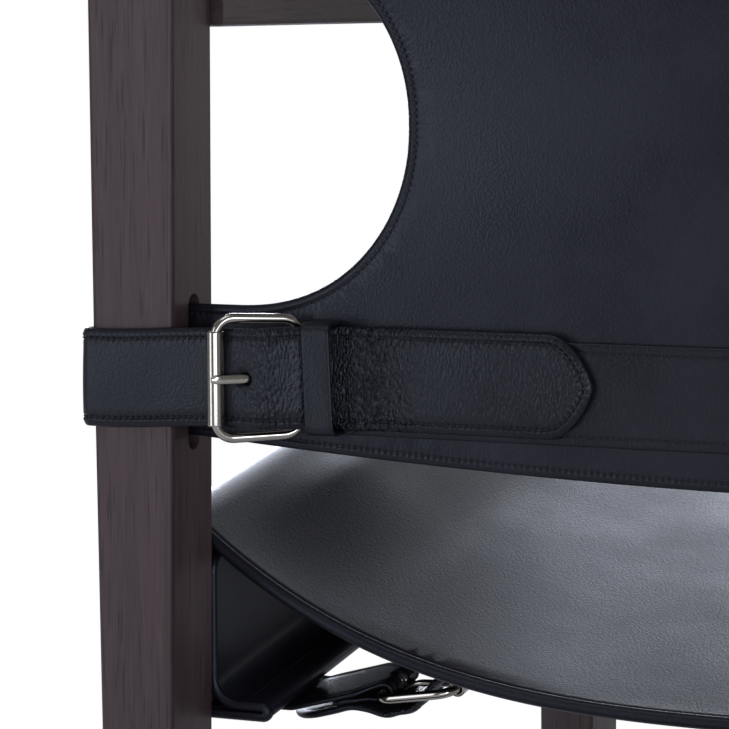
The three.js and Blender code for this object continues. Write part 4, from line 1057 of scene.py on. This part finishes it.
def make_prong(name, spot, toe):
    """A flattened wire wrapped round the heel bar that ends in a slightly dropped, tapered tip."""
    way = prong_way(toe)
    rise = np.array([-way[1], way[0]])
    if rise[1] > 0:
        rise = -rise
    wrap = WIRE + RUN_FIT + PRONG_WALL / 2
    path, thick, wide = [], [], []
    for a in np.radians(np.arange(-305, 1, 11)):
        path.append((wrap * math.sin(a), wrap * math.cos(a)))
        thick.append(PRONG_WALL)
        wide.append(PRONG_WIDTH)
    for share in np.linspace(0.08, 1, 14):
        path.append(((PRONG_FOOT - 1) * share, wrap * (1 - eased(share))))
        thick.append(lerp(PRONG_WALL, PRONG_THICKNESS, eased(share)))
        wide.append(PRONG_WIDTH)
    for s in np.linspace(PRONG_FOOT, PRONG_LENGTH, 20):
        share = (s - PRONG_FOOT) / (PRONG_LENGTH - PRONG_FOOT)
        tip = max(0.0, (share - 0.9) / 0.1)
        path.append((s, -PRONG_DROP * max(0, share - 0.7) / 0.3))
        thick.append(PRONG_THICKNESS * (1 - 0.45 * tip**2))
        wide.append(PRONG_WIDTH * (1 - 0.12 * share - 0.3 * tip**2))
    path = np.array(path)
    ahead = unit(np.gradient(path, axis=0))
    rings = []
    for (s, n), (ds, dn), t, w in zip(path, ahead, thick, wide):
        ring = []
        for a in np.arange(20) * math.pi / 10:
            c, q = math.cos(a), math.sin(a)
            across = w / 2 * math.copysign(abs(c) ** 0.5, c)
            lift = t / 2 * math.copysign(abs(q) ** 0.6, q)
            flat = way * (s - dn * lift) + rise * (n + ds * lift)
            ring.append((*flat, across))
        rings.append(spot.place(ring))
    return skin(name, rings, sharp=math.radians(60))


def make_glide(name, x, y):
    """A nailed foot glide, turned, with a rounded rim and a shallow step under the leg."""
    r, top, nail = GLIDE_RADIUS, GLIDE_HEIGHT - FIT, GLIDE_NAIL_RADIUS
    point = GLIDE_HEIGHT + GLIDE_NAIL_LENGTH
    profile = [(0.0, 0.0), (r - 1.6, 0.0), (r - 0.8, 0.2), (r - 0.2, 0.8), (r, 1.6), (r, top - 0.5),
               (r - 0.5, top), (nail + 1, top), (nail, top + 0.6), (nail, point - 2), (0.0, point - FIT)]
    bm = bmesh.new()
    line = [bm.verts.new(to_chair([x + rad, y, z])) for rad, z in profile]
    edges = [bm.edges.new(pair) for pair in zip(line, line[1:])]
    bmesh.ops.spin(bm, geom=line + edges, cent=to_chair([x, y, 0]), axis=(0, 0, 1), angle=2 * math.pi,
                   steps=40)
    bmesh.ops.remove_doubles(bm, verts=bm.verts, dist=1e-6)
    mesh = bpy.data.meshes.new(name)
    bm.to_mesh(mesh)
    bm.free()
    return closed_piece(name, mesh, math.radians(50))


def keep_flats(mesh, limit):
    """Shades big flat faces as flat beside their narrow rounded edges, by the faces' areas."""
    facing = np.array([face.normal for face in mesh.polygons])
    weight = np.array([face.area for face in mesh.polygons])
    around = [[] for _ in mesh.vertices]
    for face in mesh.polygons:
        for v in face.vertices:
            around[v].append(face.index)
    normals = []
    for face in mesh.polygons:
        for v in face.vertices:
            near = [k for k in around[v] if facing[k] @ facing[face.index] > limit]
            normals.append(unit(weight[near] @ facing[near]))
    mesh.normals_split_custom_set(normals)


SANDED = 0.0005
SMOOTH_TO = math.radians(38)


def make_wood(node):
    """A wooden member: its solid with every sharp edge slightly rounded by sanding."""
    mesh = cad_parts[node].data.copy()
    bm = bmesh.new()
    bm.from_mesh(mesh)
    bmesh.ops.remove_doubles(bm, verts=bm.verts, dist=1e-6)
    bmesh.ops.dissolve_limit(bm, angle_limit=math.radians(0.5), verts=bm.verts, edges=bm.edges)
    crisp = [e for e in bm.edges if len(e.link_faces) == 2 and e.calc_face_angle(0) > math.radians(50)]
    bmesh.ops.bevel(bm, geom=crisp, offset=SANDED, segments=2, profile=0.5, affect="EDGES",
                      clamp_overlap=True)
    bm.to_mesh(mesh)
    bm.free()
    mesh.name = f"wooden_{node}"
    obj = closed_piece(f"wooden_{node}", mesh, SMOOTH_TO)
    keep_flats(mesh, math.cos(SMOOTH_TO))
    return obj


# Materials

def linear(hex_colour):
    """An sRGB hex colour as linear RGBA."""
    parts = [int(hex_colour[i:i + 2], 16) / 255 for i in (1, 3, 5)]
    return (*[c / 12.92 if c <= 0.04045 else ((c + 0.055) / 1.055) ** 2.4 for c in parts], 1)


def add_node(tree, kind, inputs=None, out=0, **settings):
    """Adds a node with its settings and gives one of its outputs; an input is a value or an output."""
    made = tree.nodes.new(kind)
    for key, value in settings.items():
        setattr(made, key, value)
    for key, value in (inputs or {}).items():
        if isinstance(value, bpy.types.NodeSocket):
            tree.links.new(value, made.inputs[key])
        else:
            made.inputs[key].default_value = value
    return made.outputs[out] if made.outputs else None


def new_material(name):
    """A material with nothing but the place on the piece that is shaded."""
    material = bpy.data.materials.new(name)
    material.use_nodes = True
    tree = material.node_tree
    tree.nodes.clear()
    return material, tree, add_node(tree, "ShaderNodeTexCoord", out="Object")


def per(mm):
    """Pattern scale for features of a size in millimetres, on coordinates in metres."""
    return 1000 / mm


def saddle_leather(name, base, light, rough, grain_depth):
    """Black saddle leather, drum dyed and waxed: a fine pebbled grain with soft clouds of wear, a border that
    is darker towards the cut edge, and cross creases where a strap has been bent."""
    material, tree, place = new_material(name)
    pattern = add_node(tree, "ShaderNodeUVMap", uv_map="pattern")
    rim = add_node(tree, "ShaderNodeAttribute", out="Fac", attribute_name="rim")
    crease = add_node(tree, "ShaderNodeAttribute", out="Fac", attribute_name="crease")
    pebble = add_node(tree, "ShaderNodeTexVoronoi", {"Vector": place, "Scale": per(1.1), "Randomness": 1.0},
                      feature="SMOOTH_F1")
    fine = add_node(tree, "ShaderNodeTexNoise", {"Vector": place, "Scale": per(0.8), "Detail": 3.0})
    cloud = add_node(tree, "ShaderNodeTexNoise", {"Vector": place, "Scale": per(55), "Detail": 4.0,
                                                  "Roughness": 0.6})
    across = add_node(tree, "ShaderNodeMapping", {"Vector": pattern, "Scale": (1, 0.5, 1)})
    wrinkle = add_node(tree, "ShaderNodeTexVoronoi", {"Vector": across, "Scale": per(1.2),
                                                      "Smoothness": 0.35}, feature="SMOOTH_F1")
    # The border is darker from the stitch row towards the cut edge.
    inner = add_node(tree, "ShaderNodeMapRange", {"Value": rim, "From Min": 0.0018, "From Max": 0.0046})
    shade = add_node(tree, "ShaderNodeMapRange", {"Value": cloud, "From Min": 0.35, "From Max": 0.7})
    tone = add_node(tree, "ShaderNodeMix", {0: shade, 6: linear(base), 7: linear(light)}, 2, data_type="RGBA")
    speck = add_node(tree, "ShaderNodeMapRange", {"Value": fine, "From Min": 0.3, "From Max": 0.7,
                                                  "To Min": 0.8, "To Max": 1.2})
    border = add_node(tree, "ShaderNodeMapRange", {"Value": inner, "To Min": 0.72, "To Max": 1.0})
    dim = add_node(tree, "ShaderNodeMath", {0: speck, 1: border}, operation="MULTIPLY")
    colour = add_node(tree, "ShaderNodeVectorMath", {0: tone, "Scale": dim}, operation="SCALE")
    waxed = add_node(tree, "ShaderNodeMapRange", {"Value": cloud, "From Min": 0.3, "From Max": 0.7,
                                                  "To Min": rough - 0.05, "To Max": rough + 0.06})
    relief = add_node(tree, "ShaderNodeMath", {0: fine, 1: 0.6, 2: pebble}, operation="MULTIPLY_ADD")
    deep = add_node(tree, "ShaderNodeMath", {0: wrinkle, 1: crease}, operation="MULTIPLY")
    total = add_node(tree, "ShaderNodeMath", {0: deep, 1: -13.0, 2: relief}, operation="MULTIPLY_ADD")
    bump = add_node(tree, "ShaderNodeBump", {"Height": total, "Strength": 1.0, "Distance": grain_depth})
    shader = add_node(tree, "ShaderNodeBsdfPrincipled", {"Base Color": colour, "Roughness": waxed,
                                                         "Normal": bump, "IOR": 1.48,
                                                         "Specular Tint": linear("#e6eafa")})
    add_node(tree, "ShaderNodeOutputMaterial", {"Surface": shader})
    return material


def stained_wood(name, stretch):
    """Open-pored hardwood with a dark brown stain under a satin oil: long soft fibre streaks, short dark
    pores along the grain and a low sheen. `stretch` shrinks the pattern along the grain."""
    material, tree, place = new_material(name)
    along = add_node(tree, "ShaderNodeMapping", {"Vector": place, "Scale": stretch})
    streak = add_node(tree, "ShaderNodeTexNoise", {"Vector": along, "Scale": per(5.5), "Detail": 5.0,
                                                   "Roughness": 0.6, "Distortion": 0.25})
    fibre = add_node(tree, "ShaderNodeTexNoise", {"Vector": along, "Scale": per(0.9), "Detail": 2.0})
    pores = add_node(tree, "ShaderNodeTexNoise", {"Vector": along, "Scale": per(1.3), "Detail": 1.0,
                                                  "Roughness": 0.4})
    hollow = add_node(tree, "ShaderNodeMapRange", {"Value": pores, "From Min": 0.62, "From Max": 0.72})
    board = add_node(tree, "ShaderNodeTexNoise", {"Vector": along, "Scale": per(26), "Detail": 2.0})
    mixed = add_node(tree, "ShaderNodeMath", {0: board, 1: 0.7, 2: streak}, operation="MULTIPLY_ADD")
    shade = add_node(tree, "ShaderNodeMapRange", {"Value": mixed, "From Min": 0.55, "From Max": 1.15})
    tone = add_node(tree, "ShaderNodeMix", {0: shade, 6: linear("#3b2b2a"), 7: linear("#574446")}, 2,
                    data_type="RGBA")
    thread = add_node(tree, "ShaderNodeMapRange", {"Value": fibre, "From Min": 0.3, "From Max": 0.7,
                                                   "To Min": 0.82, "To Max": 1.15})
    sunk = add_node(tree, "ShaderNodeMapRange", {"Value": hollow, "To Min": 1.0, "To Max": 0.55})
    dim = add_node(tree, "ShaderNodeMath", {0: thread, 1: sunk}, operation="MULTIPLY")
    colour = add_node(tree, "ShaderNodeVectorMath", {0: tone, "Scale": dim}, operation="SCALE")
    sheen = add_node(tree, "ShaderNodeMapRange", {"Value": streak, "To Min": 0.36, "To Max": 0.52})
    depth = add_node(tree, "ShaderNodeMath", {0: hollow, 1: -1.0, 2: fibre}, operation="MULTIPLY_ADD")
    bump = add_node(tree, "ShaderNodeBump", {"Height": depth, "Strength": 0.5, "Distance": 0.00015})
    shader = add_node(tree, "ShaderNodeBsdfPrincipled", {"Base Color": colour, "Roughness": sheen,
                                                         "Normal": bump, "IOR": 1.5})
    add_node(tree, "ShaderNodeOutputMaterial", {"Surface": shader})
    return material


def nickel_plated_steel():
    """Bent steel wire, tumbled and nickel plated: bright and slightly warm, with faint drawing lines and a
    light haze of handling."""
    material, tree, place = new_material("nickel_plated_steel")
    haze = add_node(tree, "ShaderNodeTexNoise", {"Vector": place, "Scale": per(6), "Detail": 4.0})
    fine = add_node(tree, "ShaderNodeTexNoise", {"Vector": place, "Scale": per(0.5), "Detail": 2.0})
    tone = add_node(tree, "ShaderNodeMix", {0: haze, 6: linear("#b7afa4"), 7: linear("#d6d0c6")}, 2,
                    data_type="RGBA")
    rough = add_node(tree, "ShaderNodeMapRange", {"Value": haze, "From Min": 0.3, "From Max": 0.7,
                                                  "To Min": 0.07, "To Max": 0.15})
    bump = add_node(tree, "ShaderNodeBump", {"Height": fine, "Strength": 0.12, "Distance": 0.00008})
    shader = add_node(tree, "ShaderNodeBsdfPrincipled", {"Base Color": tone, "Roughness": rough,
                                                         "Normal": bump, "Metallic": 1.0})
    add_node(tree, "ShaderNodeOutputMaterial", {"Surface": shader})
    return material


def moulded_nylon():
    """Dark moulded nylon: dull and slightly mottled, scuffed where it slides on the floor."""
    material, tree, place = new_material("moulded_nylon")
    scuff = add_node(tree, "ShaderNodeTexNoise", {"Vector": place, "Scale": per(2), "Detail": 4.0})
    tone = add_node(tree, "ShaderNodeMix", {0: scuff, 6: linear("#1f1d1c"), 7: linear("#37332f")}, 2,
                    data_type="RGBA")
    bump = add_node(tree, "ShaderNodeBump", {"Height": scuff, "Strength": 0.3, "Distance": 0.0001})
    shader = add_node(tree, "ShaderNodeBsdfPrincipled", {"Base Color": tone, "Roughness": 0.6, "Normal": bump,
                                                         "IOR": 1.53})
    add_node(tree, "ShaderNodeOutputMaterial", {"Surface": shader})
    return material


def waxed_thread():
    """Waxed black sewing thread: dark, a little glossy, with a fine twist."""
    material, tree, place = new_material("waxed_thread")
    twist = add_node(tree, "ShaderNodeTexNoise", {"Vector": place, "Scale": per(0.6), "Detail": 1.0})
    tone = add_node(tree, "ShaderNodeMix", {0: twist, 6: linear("#101013"), 7: linear("#26262b")}, 2,
                    data_type="RGBA")
    shader = add_node(tree, "ShaderNodeBsdfPrincipled", {"Base Color": tone, "Roughness": 0.5, "IOR": 1.45})
    add_node(tree, "ShaderNodeOutputMaterial", {"Surface": shader})
    return material


SLING_LEATHER = saddle_leather("black_saddle_leather", "#1a1a20", "#24242c", 0.36, 0.0001)
STRAP_LEATHER = saddle_leather("black_strap_leather", "#18181c", "#222227", 0.35, 0.00012)
GRAIN_UP = stained_wood("stained_hardwood_upright", (1, 1, 0.045))
GRAIN_LENGTHWISE = stained_wood("stained_hardwood_lengthwise", (1, 0.045, 1))
GRAIN_CROSSWISE = stained_wood("stained_hardwood_crosswise", (0.045, 1, 1))
NICKEL = nickel_plated_steel()
NYLON = moulded_nylon()
WAXED_THREAD = waxed_thread()


# Stitches: a tree that sets a slightly slanted stitch at every pitch of the noted rows

STITCH_INPUTS = (("Rows", "Geometry"), ("Pitch", "Float"), ("Length", "Float"), ("Thread", "Float"),
                 ("Slant", "Float"), ("Seed", "Int"), ("Material", "Material"))


def stitch_tree():
    tree = bpy.data.node_groups.new("saddle_stitches", "GeometryNodeTree")
    sockets = {}
    for name, kind in STITCH_INPUTS:
        made = tree.interface.new_socket(name=name, in_out="INPUT", socket_type=f"NodeSocket{kind}")
        sockets[name] = made.identifier
    tree.interface.new_socket(name="Stitches", in_out="OUTPUT", socket_type="NodeSocketGeometry")
    given = add_node(tree, "NodeGroupInput").node.outputs
    curve = add_node(tree, "GeometryNodeMeshToCurve", {"Mesh": given["Rows"]})
    beads = add_node(tree, "GeometryNodeResampleCurve", {"Curve": curve, "Length": given["Pitch"]},
                     mode="LENGTH")
    facing = add_node(tree, "GeometryNodeInputNamedAttribute", {"Name": "facing"}, "Attribute",
                      data_type="FLOAT_VECTOR")
    heading = add_node(tree, "GeometryNodeInputTangent")
    turn = add_node(tree, "FunctionNodeAxesToRotation", {"Primary Axis": facing, "Secondary Axis": heading},
                    primary_axis="Z", secondary_axis="X")
    wobble = add_node(tree, "FunctionNodeRandomValue", {"Min": (0.0, 0.0, -0.05), "Max": (0.0, 0.0, 0.05),
                                                        "Seed": given["Seed"]}, data_type="FLOAT_VECTOR")
    slant = add_node(tree, "ShaderNodeCombineXYZ", {"Z": given["Slant"]})
    swing = add_node(tree, "ShaderNodeVectorMath", {0: slant, 1: wobble}, operation="ADD")
    swung = add_node(tree, "FunctionNodeRotateRotation", {"Rotation": turn, "Rotate By": swing},
                     rotation_space="LOCAL")
    bead = add_node(tree, "GeometryNodeMeshUVSphere", {"Segments": 6, "Rings": 5, "Radius": 0.5})
    lying = add_node(tree, "GeometryNodeTransform", {"Geometry": bead, "Rotation": (0, math.pi / 2, 0)})
    soft = add_node(tree, "GeometryNodeSetShadeSmooth", {"Geometry": lying})
    size = add_node(tree, "ShaderNodeCombineXYZ", {"X": given["Length"], "Y": given["Thread"],
                                                   "Z": given["Thread"]})
    placed = add_node(tree, "GeometryNodeInstanceOnPoints", {"Points": beads, "Instance": soft,
                                                             "Rotation": swung, "Scale": size})
    real = add_node(tree, "GeometryNodeRealizeInstances", {"Geometry": placed})
    finished = add_node(tree, "GeometryNodeSetMaterial", {"Geometry": real, "Material": given["Material"]})
    add_node(tree, "NodeGroupOutput", {"Stitches": finished})
    return tree, sockets


STITCH_TREE, STITCH_SOCKETS = stitch_tree()


def make_stitches(group, rows):
    points, edges, facing = [], [], []
    for line, normals, closed in rows:
        start = len(points)
        points += line.tolist()
        facing += normals.tolist()
        edges += [(start + i, start + i + 1) for i in range(len(line) - 1)]
        if closed:
            edges.append((start + len(line) - 1, start))
    mesh = bpy.data.meshes.new(f"rows_{group}")
    mesh.from_pydata(points, edges, [])
    layer = mesh.attributes.new("facing", "FLOAT_VECTOR", "POINT")
    layer.data.foreach_set("vector", np.array(facing).ravel())
    rows_obj = add_object(f"rows_{group}", mesh)
    modifier = rows_obj.modifiers.new("stitches", "NODES")
    modifier.node_group = STITCH_TREE
    for name, value in (("Pitch", STITCH_PITCH / 1000), ("Length", STITCH_LENGTH / 1000),
                        ("Thread", THREAD / 1000), ("Slant", STITCH_SLANT), ("Seed", STITCH_SEED),
                        ("Material", WAXED_THREAD)):
        modifier[STITCH_SOCKETS[name]] = value
    bpy.context.view_layer.update()
    graph = bpy.context.evaluated_depsgraph_get()
    sewn = bpy.data.meshes.new_from_object(rows_obj.evaluated_get(graph), depsgraph=graph)
    bpy.data.objects.remove(rows_obj)
    bpy.data.meshes.remove(mesh)
    sewn.name = f"stitches_{group}"
    return add_object(f"stitches_{group}", sewn)


# The chair

for side, way in SIDES.items():
    for member, grain in (("rear_post", GRAIN_UP), ("front_leg", GRAIN_UP), ("seat_rail", GRAIN_LENGTHWISE),
                          ("armrest", GRAIN_LENGTHWISE)):
        dress(make_wood(f"{member}_{side}"), grain, [f"{member}_{side}"])
    for end, y in (("rear", 0), ("front", LEG_SPACING)):
        node = f"{end}_foot_glide_{side}"
        dress(make_glide(f"nylon_{node}", way * POST_X, y), NYLON, [node])
for node in ("rear_stretcher", "front_stretcher"):
    dress(make_wood(node), GRAIN_CROSSWISE, [node])

panel, panel_cut = make_panel()
dress(panel, SLING_LEATHER, ["back_panel"])
sling, sling_cut = make_sling()
dress(sling, SLING_LEATHER, ["seat_sling"])


def fit_buckle(key, spot, toe):
    """The frame, roller and prong of one buckle."""
    group, rest = key.split("_", 1)
    frame_node, roller, prong = (f"{group}_{part}_{rest}" for part in ("buckle", "roller", "prong"))
    dress(make_buckle(f"nickel_{frame_node}", spot, toe), NICKEL, [frame_node])
    dress(make_roller(f"nickel_{roller}", spot, toe), NICKEL, [roller], body=roller)
    dress(make_prong(f"nickel_{prong}", spot, toe), NICKEL, [prong], body=prong)


for level, centre in (("lower", STRAP_HEIGHT), ("upper", STRAP_HEIGHT + STRAP_RISE)):
    dress(make_back_band(level, centre), STRAP_LEATHER, [f"back_band_{level}"])
    for side, way in SIDES.items():
        key = f"{level}_{side}"
        dress(make_back_strap(level, side, centre), STRAP_LEATHER, [f"back_strap_{key}"])
        dress(make_back_keeper(level, side, centre), STRAP_LEATHER, [f"back_keeper_{key}"])
        heel = np.array([way * HEEL_X, HEEL_Y, centre + STRAP_LIFT])
        fit_buckle(f"back_{key}", Spot(heel, AXIS_X * way, AXIS_Y, AXIS_Z), back_toe(centre))

REACH = SEAT_LENGTH - RAIL_HEIGHT * math.sin(RAIL_TILT)
PLACES = {"rear": SEAT_STRAP_INSET, "middle": REACH / 2, "front": REACH - SEAT_STRAP_INSET}
for place, y in PLACES.items():
    dress(make_seat_tab(place, y), STRAP_LEATHER, [f"seat_tab_{place}"])
    dress(make_seat_strap(place, y), STRAP_LEATHER, [f"seat_strap_{place}"])
    heel = TILTED_ORIGIN + SEAT_HEEL[0] * AXIS_X + SEAT_HEEL[1] * TILTED_Z + y * TILTED_Y
    along = TAB_ALONG[0] * AXIS_X + TAB_ALONG[1] * TILTED_Z
    inward = TAB_IN[0] * AXIS_X + TAB_IN[1] * TILTED_Z
    fit_buckle(f"seat_{place}", Spot(heel, along, inward, TILTED_Y), SEAT_TOE)

sewn = {}
for group, rows in stitch_rows.items():
    sewn[group] = make_stitches(group, rows)
    dress(sewn[group], WAXED_THREAD)

size = np.ptp(panel_cut, axis=0) / 1000
flat_area(panel_cut) / 1e6
size = np.ptp(sling_cut, axis=0) / 1000
flat_area(sling_cut) / 1e6


# Camera, floor and light

CAMERA_PLACE = (0.45756, -1.69282, 0.56017)
CAMERA_LENS = 174.9
SENSOR = 36
YAW, PITCH, ROLL = (math.radians(a) for a in (24.4, 6.0, 0.3))

camera = add_object("camera", bpy.data.cameras.new("camera"))
camera.data.lens = CAMERA_LENS
camera.data.sensor_width = SENSOR
camera.location = CAMERA_PLACE
view_way = Vector((-math.sin(YAW) * math.cos(PITCH), math.cos(YAW) * math.cos(PITCH), -math.sin(PITCH)))
turned = view_way.to_track_quat("-Z", "Y")
turned.rotate(Quaternion(view_way, ROLL))
camera.rotation_mode = "QUATERNION"
camera.rotation_quaternion = turned
bpy.context.scene.camera = camera


def studio_floor():
    """A pale painted floor that keeps the chair's shadow near it and is plain white further off. In the gloss
    only its far part in front of the chair is white."""
    material, tree, place = new_material("studio_floor")
    reach = add_node(tree, "ShaderNodeVectorMath", {0: place}, "Value", operation="LENGTH")
    far = add_node(tree, "ShaderNodeMapRange", {"Value": reach, "From Min": 0.55, "From Max": 0.95,
                                                "To Min": 0.5}, interpolation_type="SMOOTHSTEP")
    ahead = add_node(tree, "ShaderNodeSeparateXYZ", {0: place}, "Y")
    front = add_node(tree, "ShaderNodeMapRange", {"Value": ahead, "From Min": 4.0, "From Max": 9.0})
    ray = add_node(tree, "ShaderNodeLightPath").node.outputs
    mirrored = add_node(tree, "ShaderNodeMath", {0: ray["Is Glossy Ray"], 1: front}, operation="MULTIPLY")
    seen = add_node(tree, "ShaderNodeMath", {0: ray["Is Camera Ray"], 1: mirrored}, operation="MAXIMUM")
    seen = add_node(tree, "ShaderNodeMath", {0: seen, 1: ray["Is Transmission Ray"]}, operation="MAXIMUM")
    share = add_node(tree, "ShaderNodeMath", {0: far, 1: seen}, operation="MULTIPLY")
    paint = add_node(tree, "ShaderNodeBsdfDiffuse", {"Color": linear("#e9e9ea")})
    white = add_node(tree, "ShaderNodeEmission", {"Color": (1, 1, 1, 1), "Strength": 1.0})
    mixed = add_node(tree, "ShaderNodeMixShader", {0: share, 1: paint, 2: white})
    add_node(tree, "ShaderNodeOutputMaterial", {"Surface": mixed})
    return material


floor_mesh = bpy.data.meshes.new("floor")
floor_mesh.from_pydata([(-30, -30, 0), (30, -30, 0), (30, 30, 0), (-30, 30, 0)], [], [(0, 1, 2, 3)])
floor_mesh.materials.append(studio_floor())
floor = add_object("floor", floor_mesh)

# The wall ahead of the sitter: heights, as the sine of the elevation, and how bright it is there
STUDIO_GLOW = ((0.0, 0.4), (0.18, 0.4), (0.26, 0.1), (0.38, 0.15), (0.46, 0.62), (0.66, 0.66), (0.74, 0.1))
REAR_GLOW = 0.14
STUDIO_WHITE = (0.81, 0.86, 1.0)


def studio_world():
    """A dim studio with a pale far wall: its foot and a band of lit cloth above it show in the gloss."""
    world = bpy.data.worlds.new("studio")
    bpy.context.scene.world = world
    world.use_nodes = True
    tree = world.node_tree
    tree.nodes.clear()
    way = add_node(tree, "ShaderNodeTexCoord", out="Generated")
    split = add_node(tree, "ShaderNodeSeparateXYZ", {0: way}).node.outputs
    wall = add_node(tree, "ShaderNodeValToRGB", {0: split["Z"]})
    stops = wall.node.color_ramp.elements
    stops.remove(stops[1])
    for number, (height, level) in enumerate(STUDIO_GLOW):
        stop = stops.new(height) if number else stops[0]
        stop.position = height
        stop.color = (level, level, level, 1)
    front = add_node(tree, "ShaderNodeMapRange", {"Value": split["Y"], "From Min": -0.1, "From Max": 0.1})
    lit = add_node(tree, "ShaderNodeMix", {0: front, 2: REAR_GLOW, 3: wall})
    ray = add_node(tree, "ShaderNodeLightPath").node.outputs
    seen = add_node(tree, "ShaderNodeMath", {0: ray["Is Camera Ray"], 1: ray["Is Transmission Ray"]},
                    operation="MAXIMUM")
    room = add_node(tree, "ShaderNodeBackground", {"Color": (1, 1, 1, 1), "Strength": lit})
    white = add_node(tree, "ShaderNodeBackground", {"Color": (1, 1, 1, 1), "Strength": 1.0})
    mixed = add_node(tree, "ShaderNodeMixShader", {0: seen, 1: room, 2: white})
    add_node(tree, "ShaderNodeOutputWorld", {"Surface": mixed})


studio_world()


def softbox(name, place, aim, width, height, power):
    data = bpy.data.lights.new(name, "AREA")
    data.shape = "RECTANGLE"
    data.size, data.size_y = width, height
    data.energy = power
    data.color = STUDIO_WHITE
    lamp = add_object(name, data)
    lamp.location = place
    lamp.rotation_euler = (Vector(aim) - Vector(place)).to_track_quat("-Z", "Y").to_euler()
    lamp.visible_camera = False


softbox("seat_softbox", (-0.56, 2.4, 1.4), (-0.05, 0, 0.3), 0.72, 0.7, 7.6)
softbox("left_softbox", (-1.35, -1.75, 0.65), (-0.2, -0.28, 0.45), 0.7, 1.2, 5.5)
softbox("right_softbox", (1.7, -2.3, 0.9), (0, -0.2, 0.4), 0.6, 1.0, 10)
softbox("low_fill", (0.7, -2.2, 0.3), (-0.2, -0.2, 0.25), 1.6, 0.4, 6)
softbox("front_softbox", (-1.9, 2.3, 0.75), (0, 0, 0.4), 1.2, 1.0, 45)
softbox("rail_softbox", (-0.61, 0.72, 0.68), (-0.28, 0.05, 0.36), 0.2, 0.2, 0.9)
softbox("top_softbox", (-0.4, -1.0, 2.1), (-0.15, -0.2, 0.35), 0.9, 0.9, 4)
bpy.context.scene.view_settings.view_transform = "Standard"
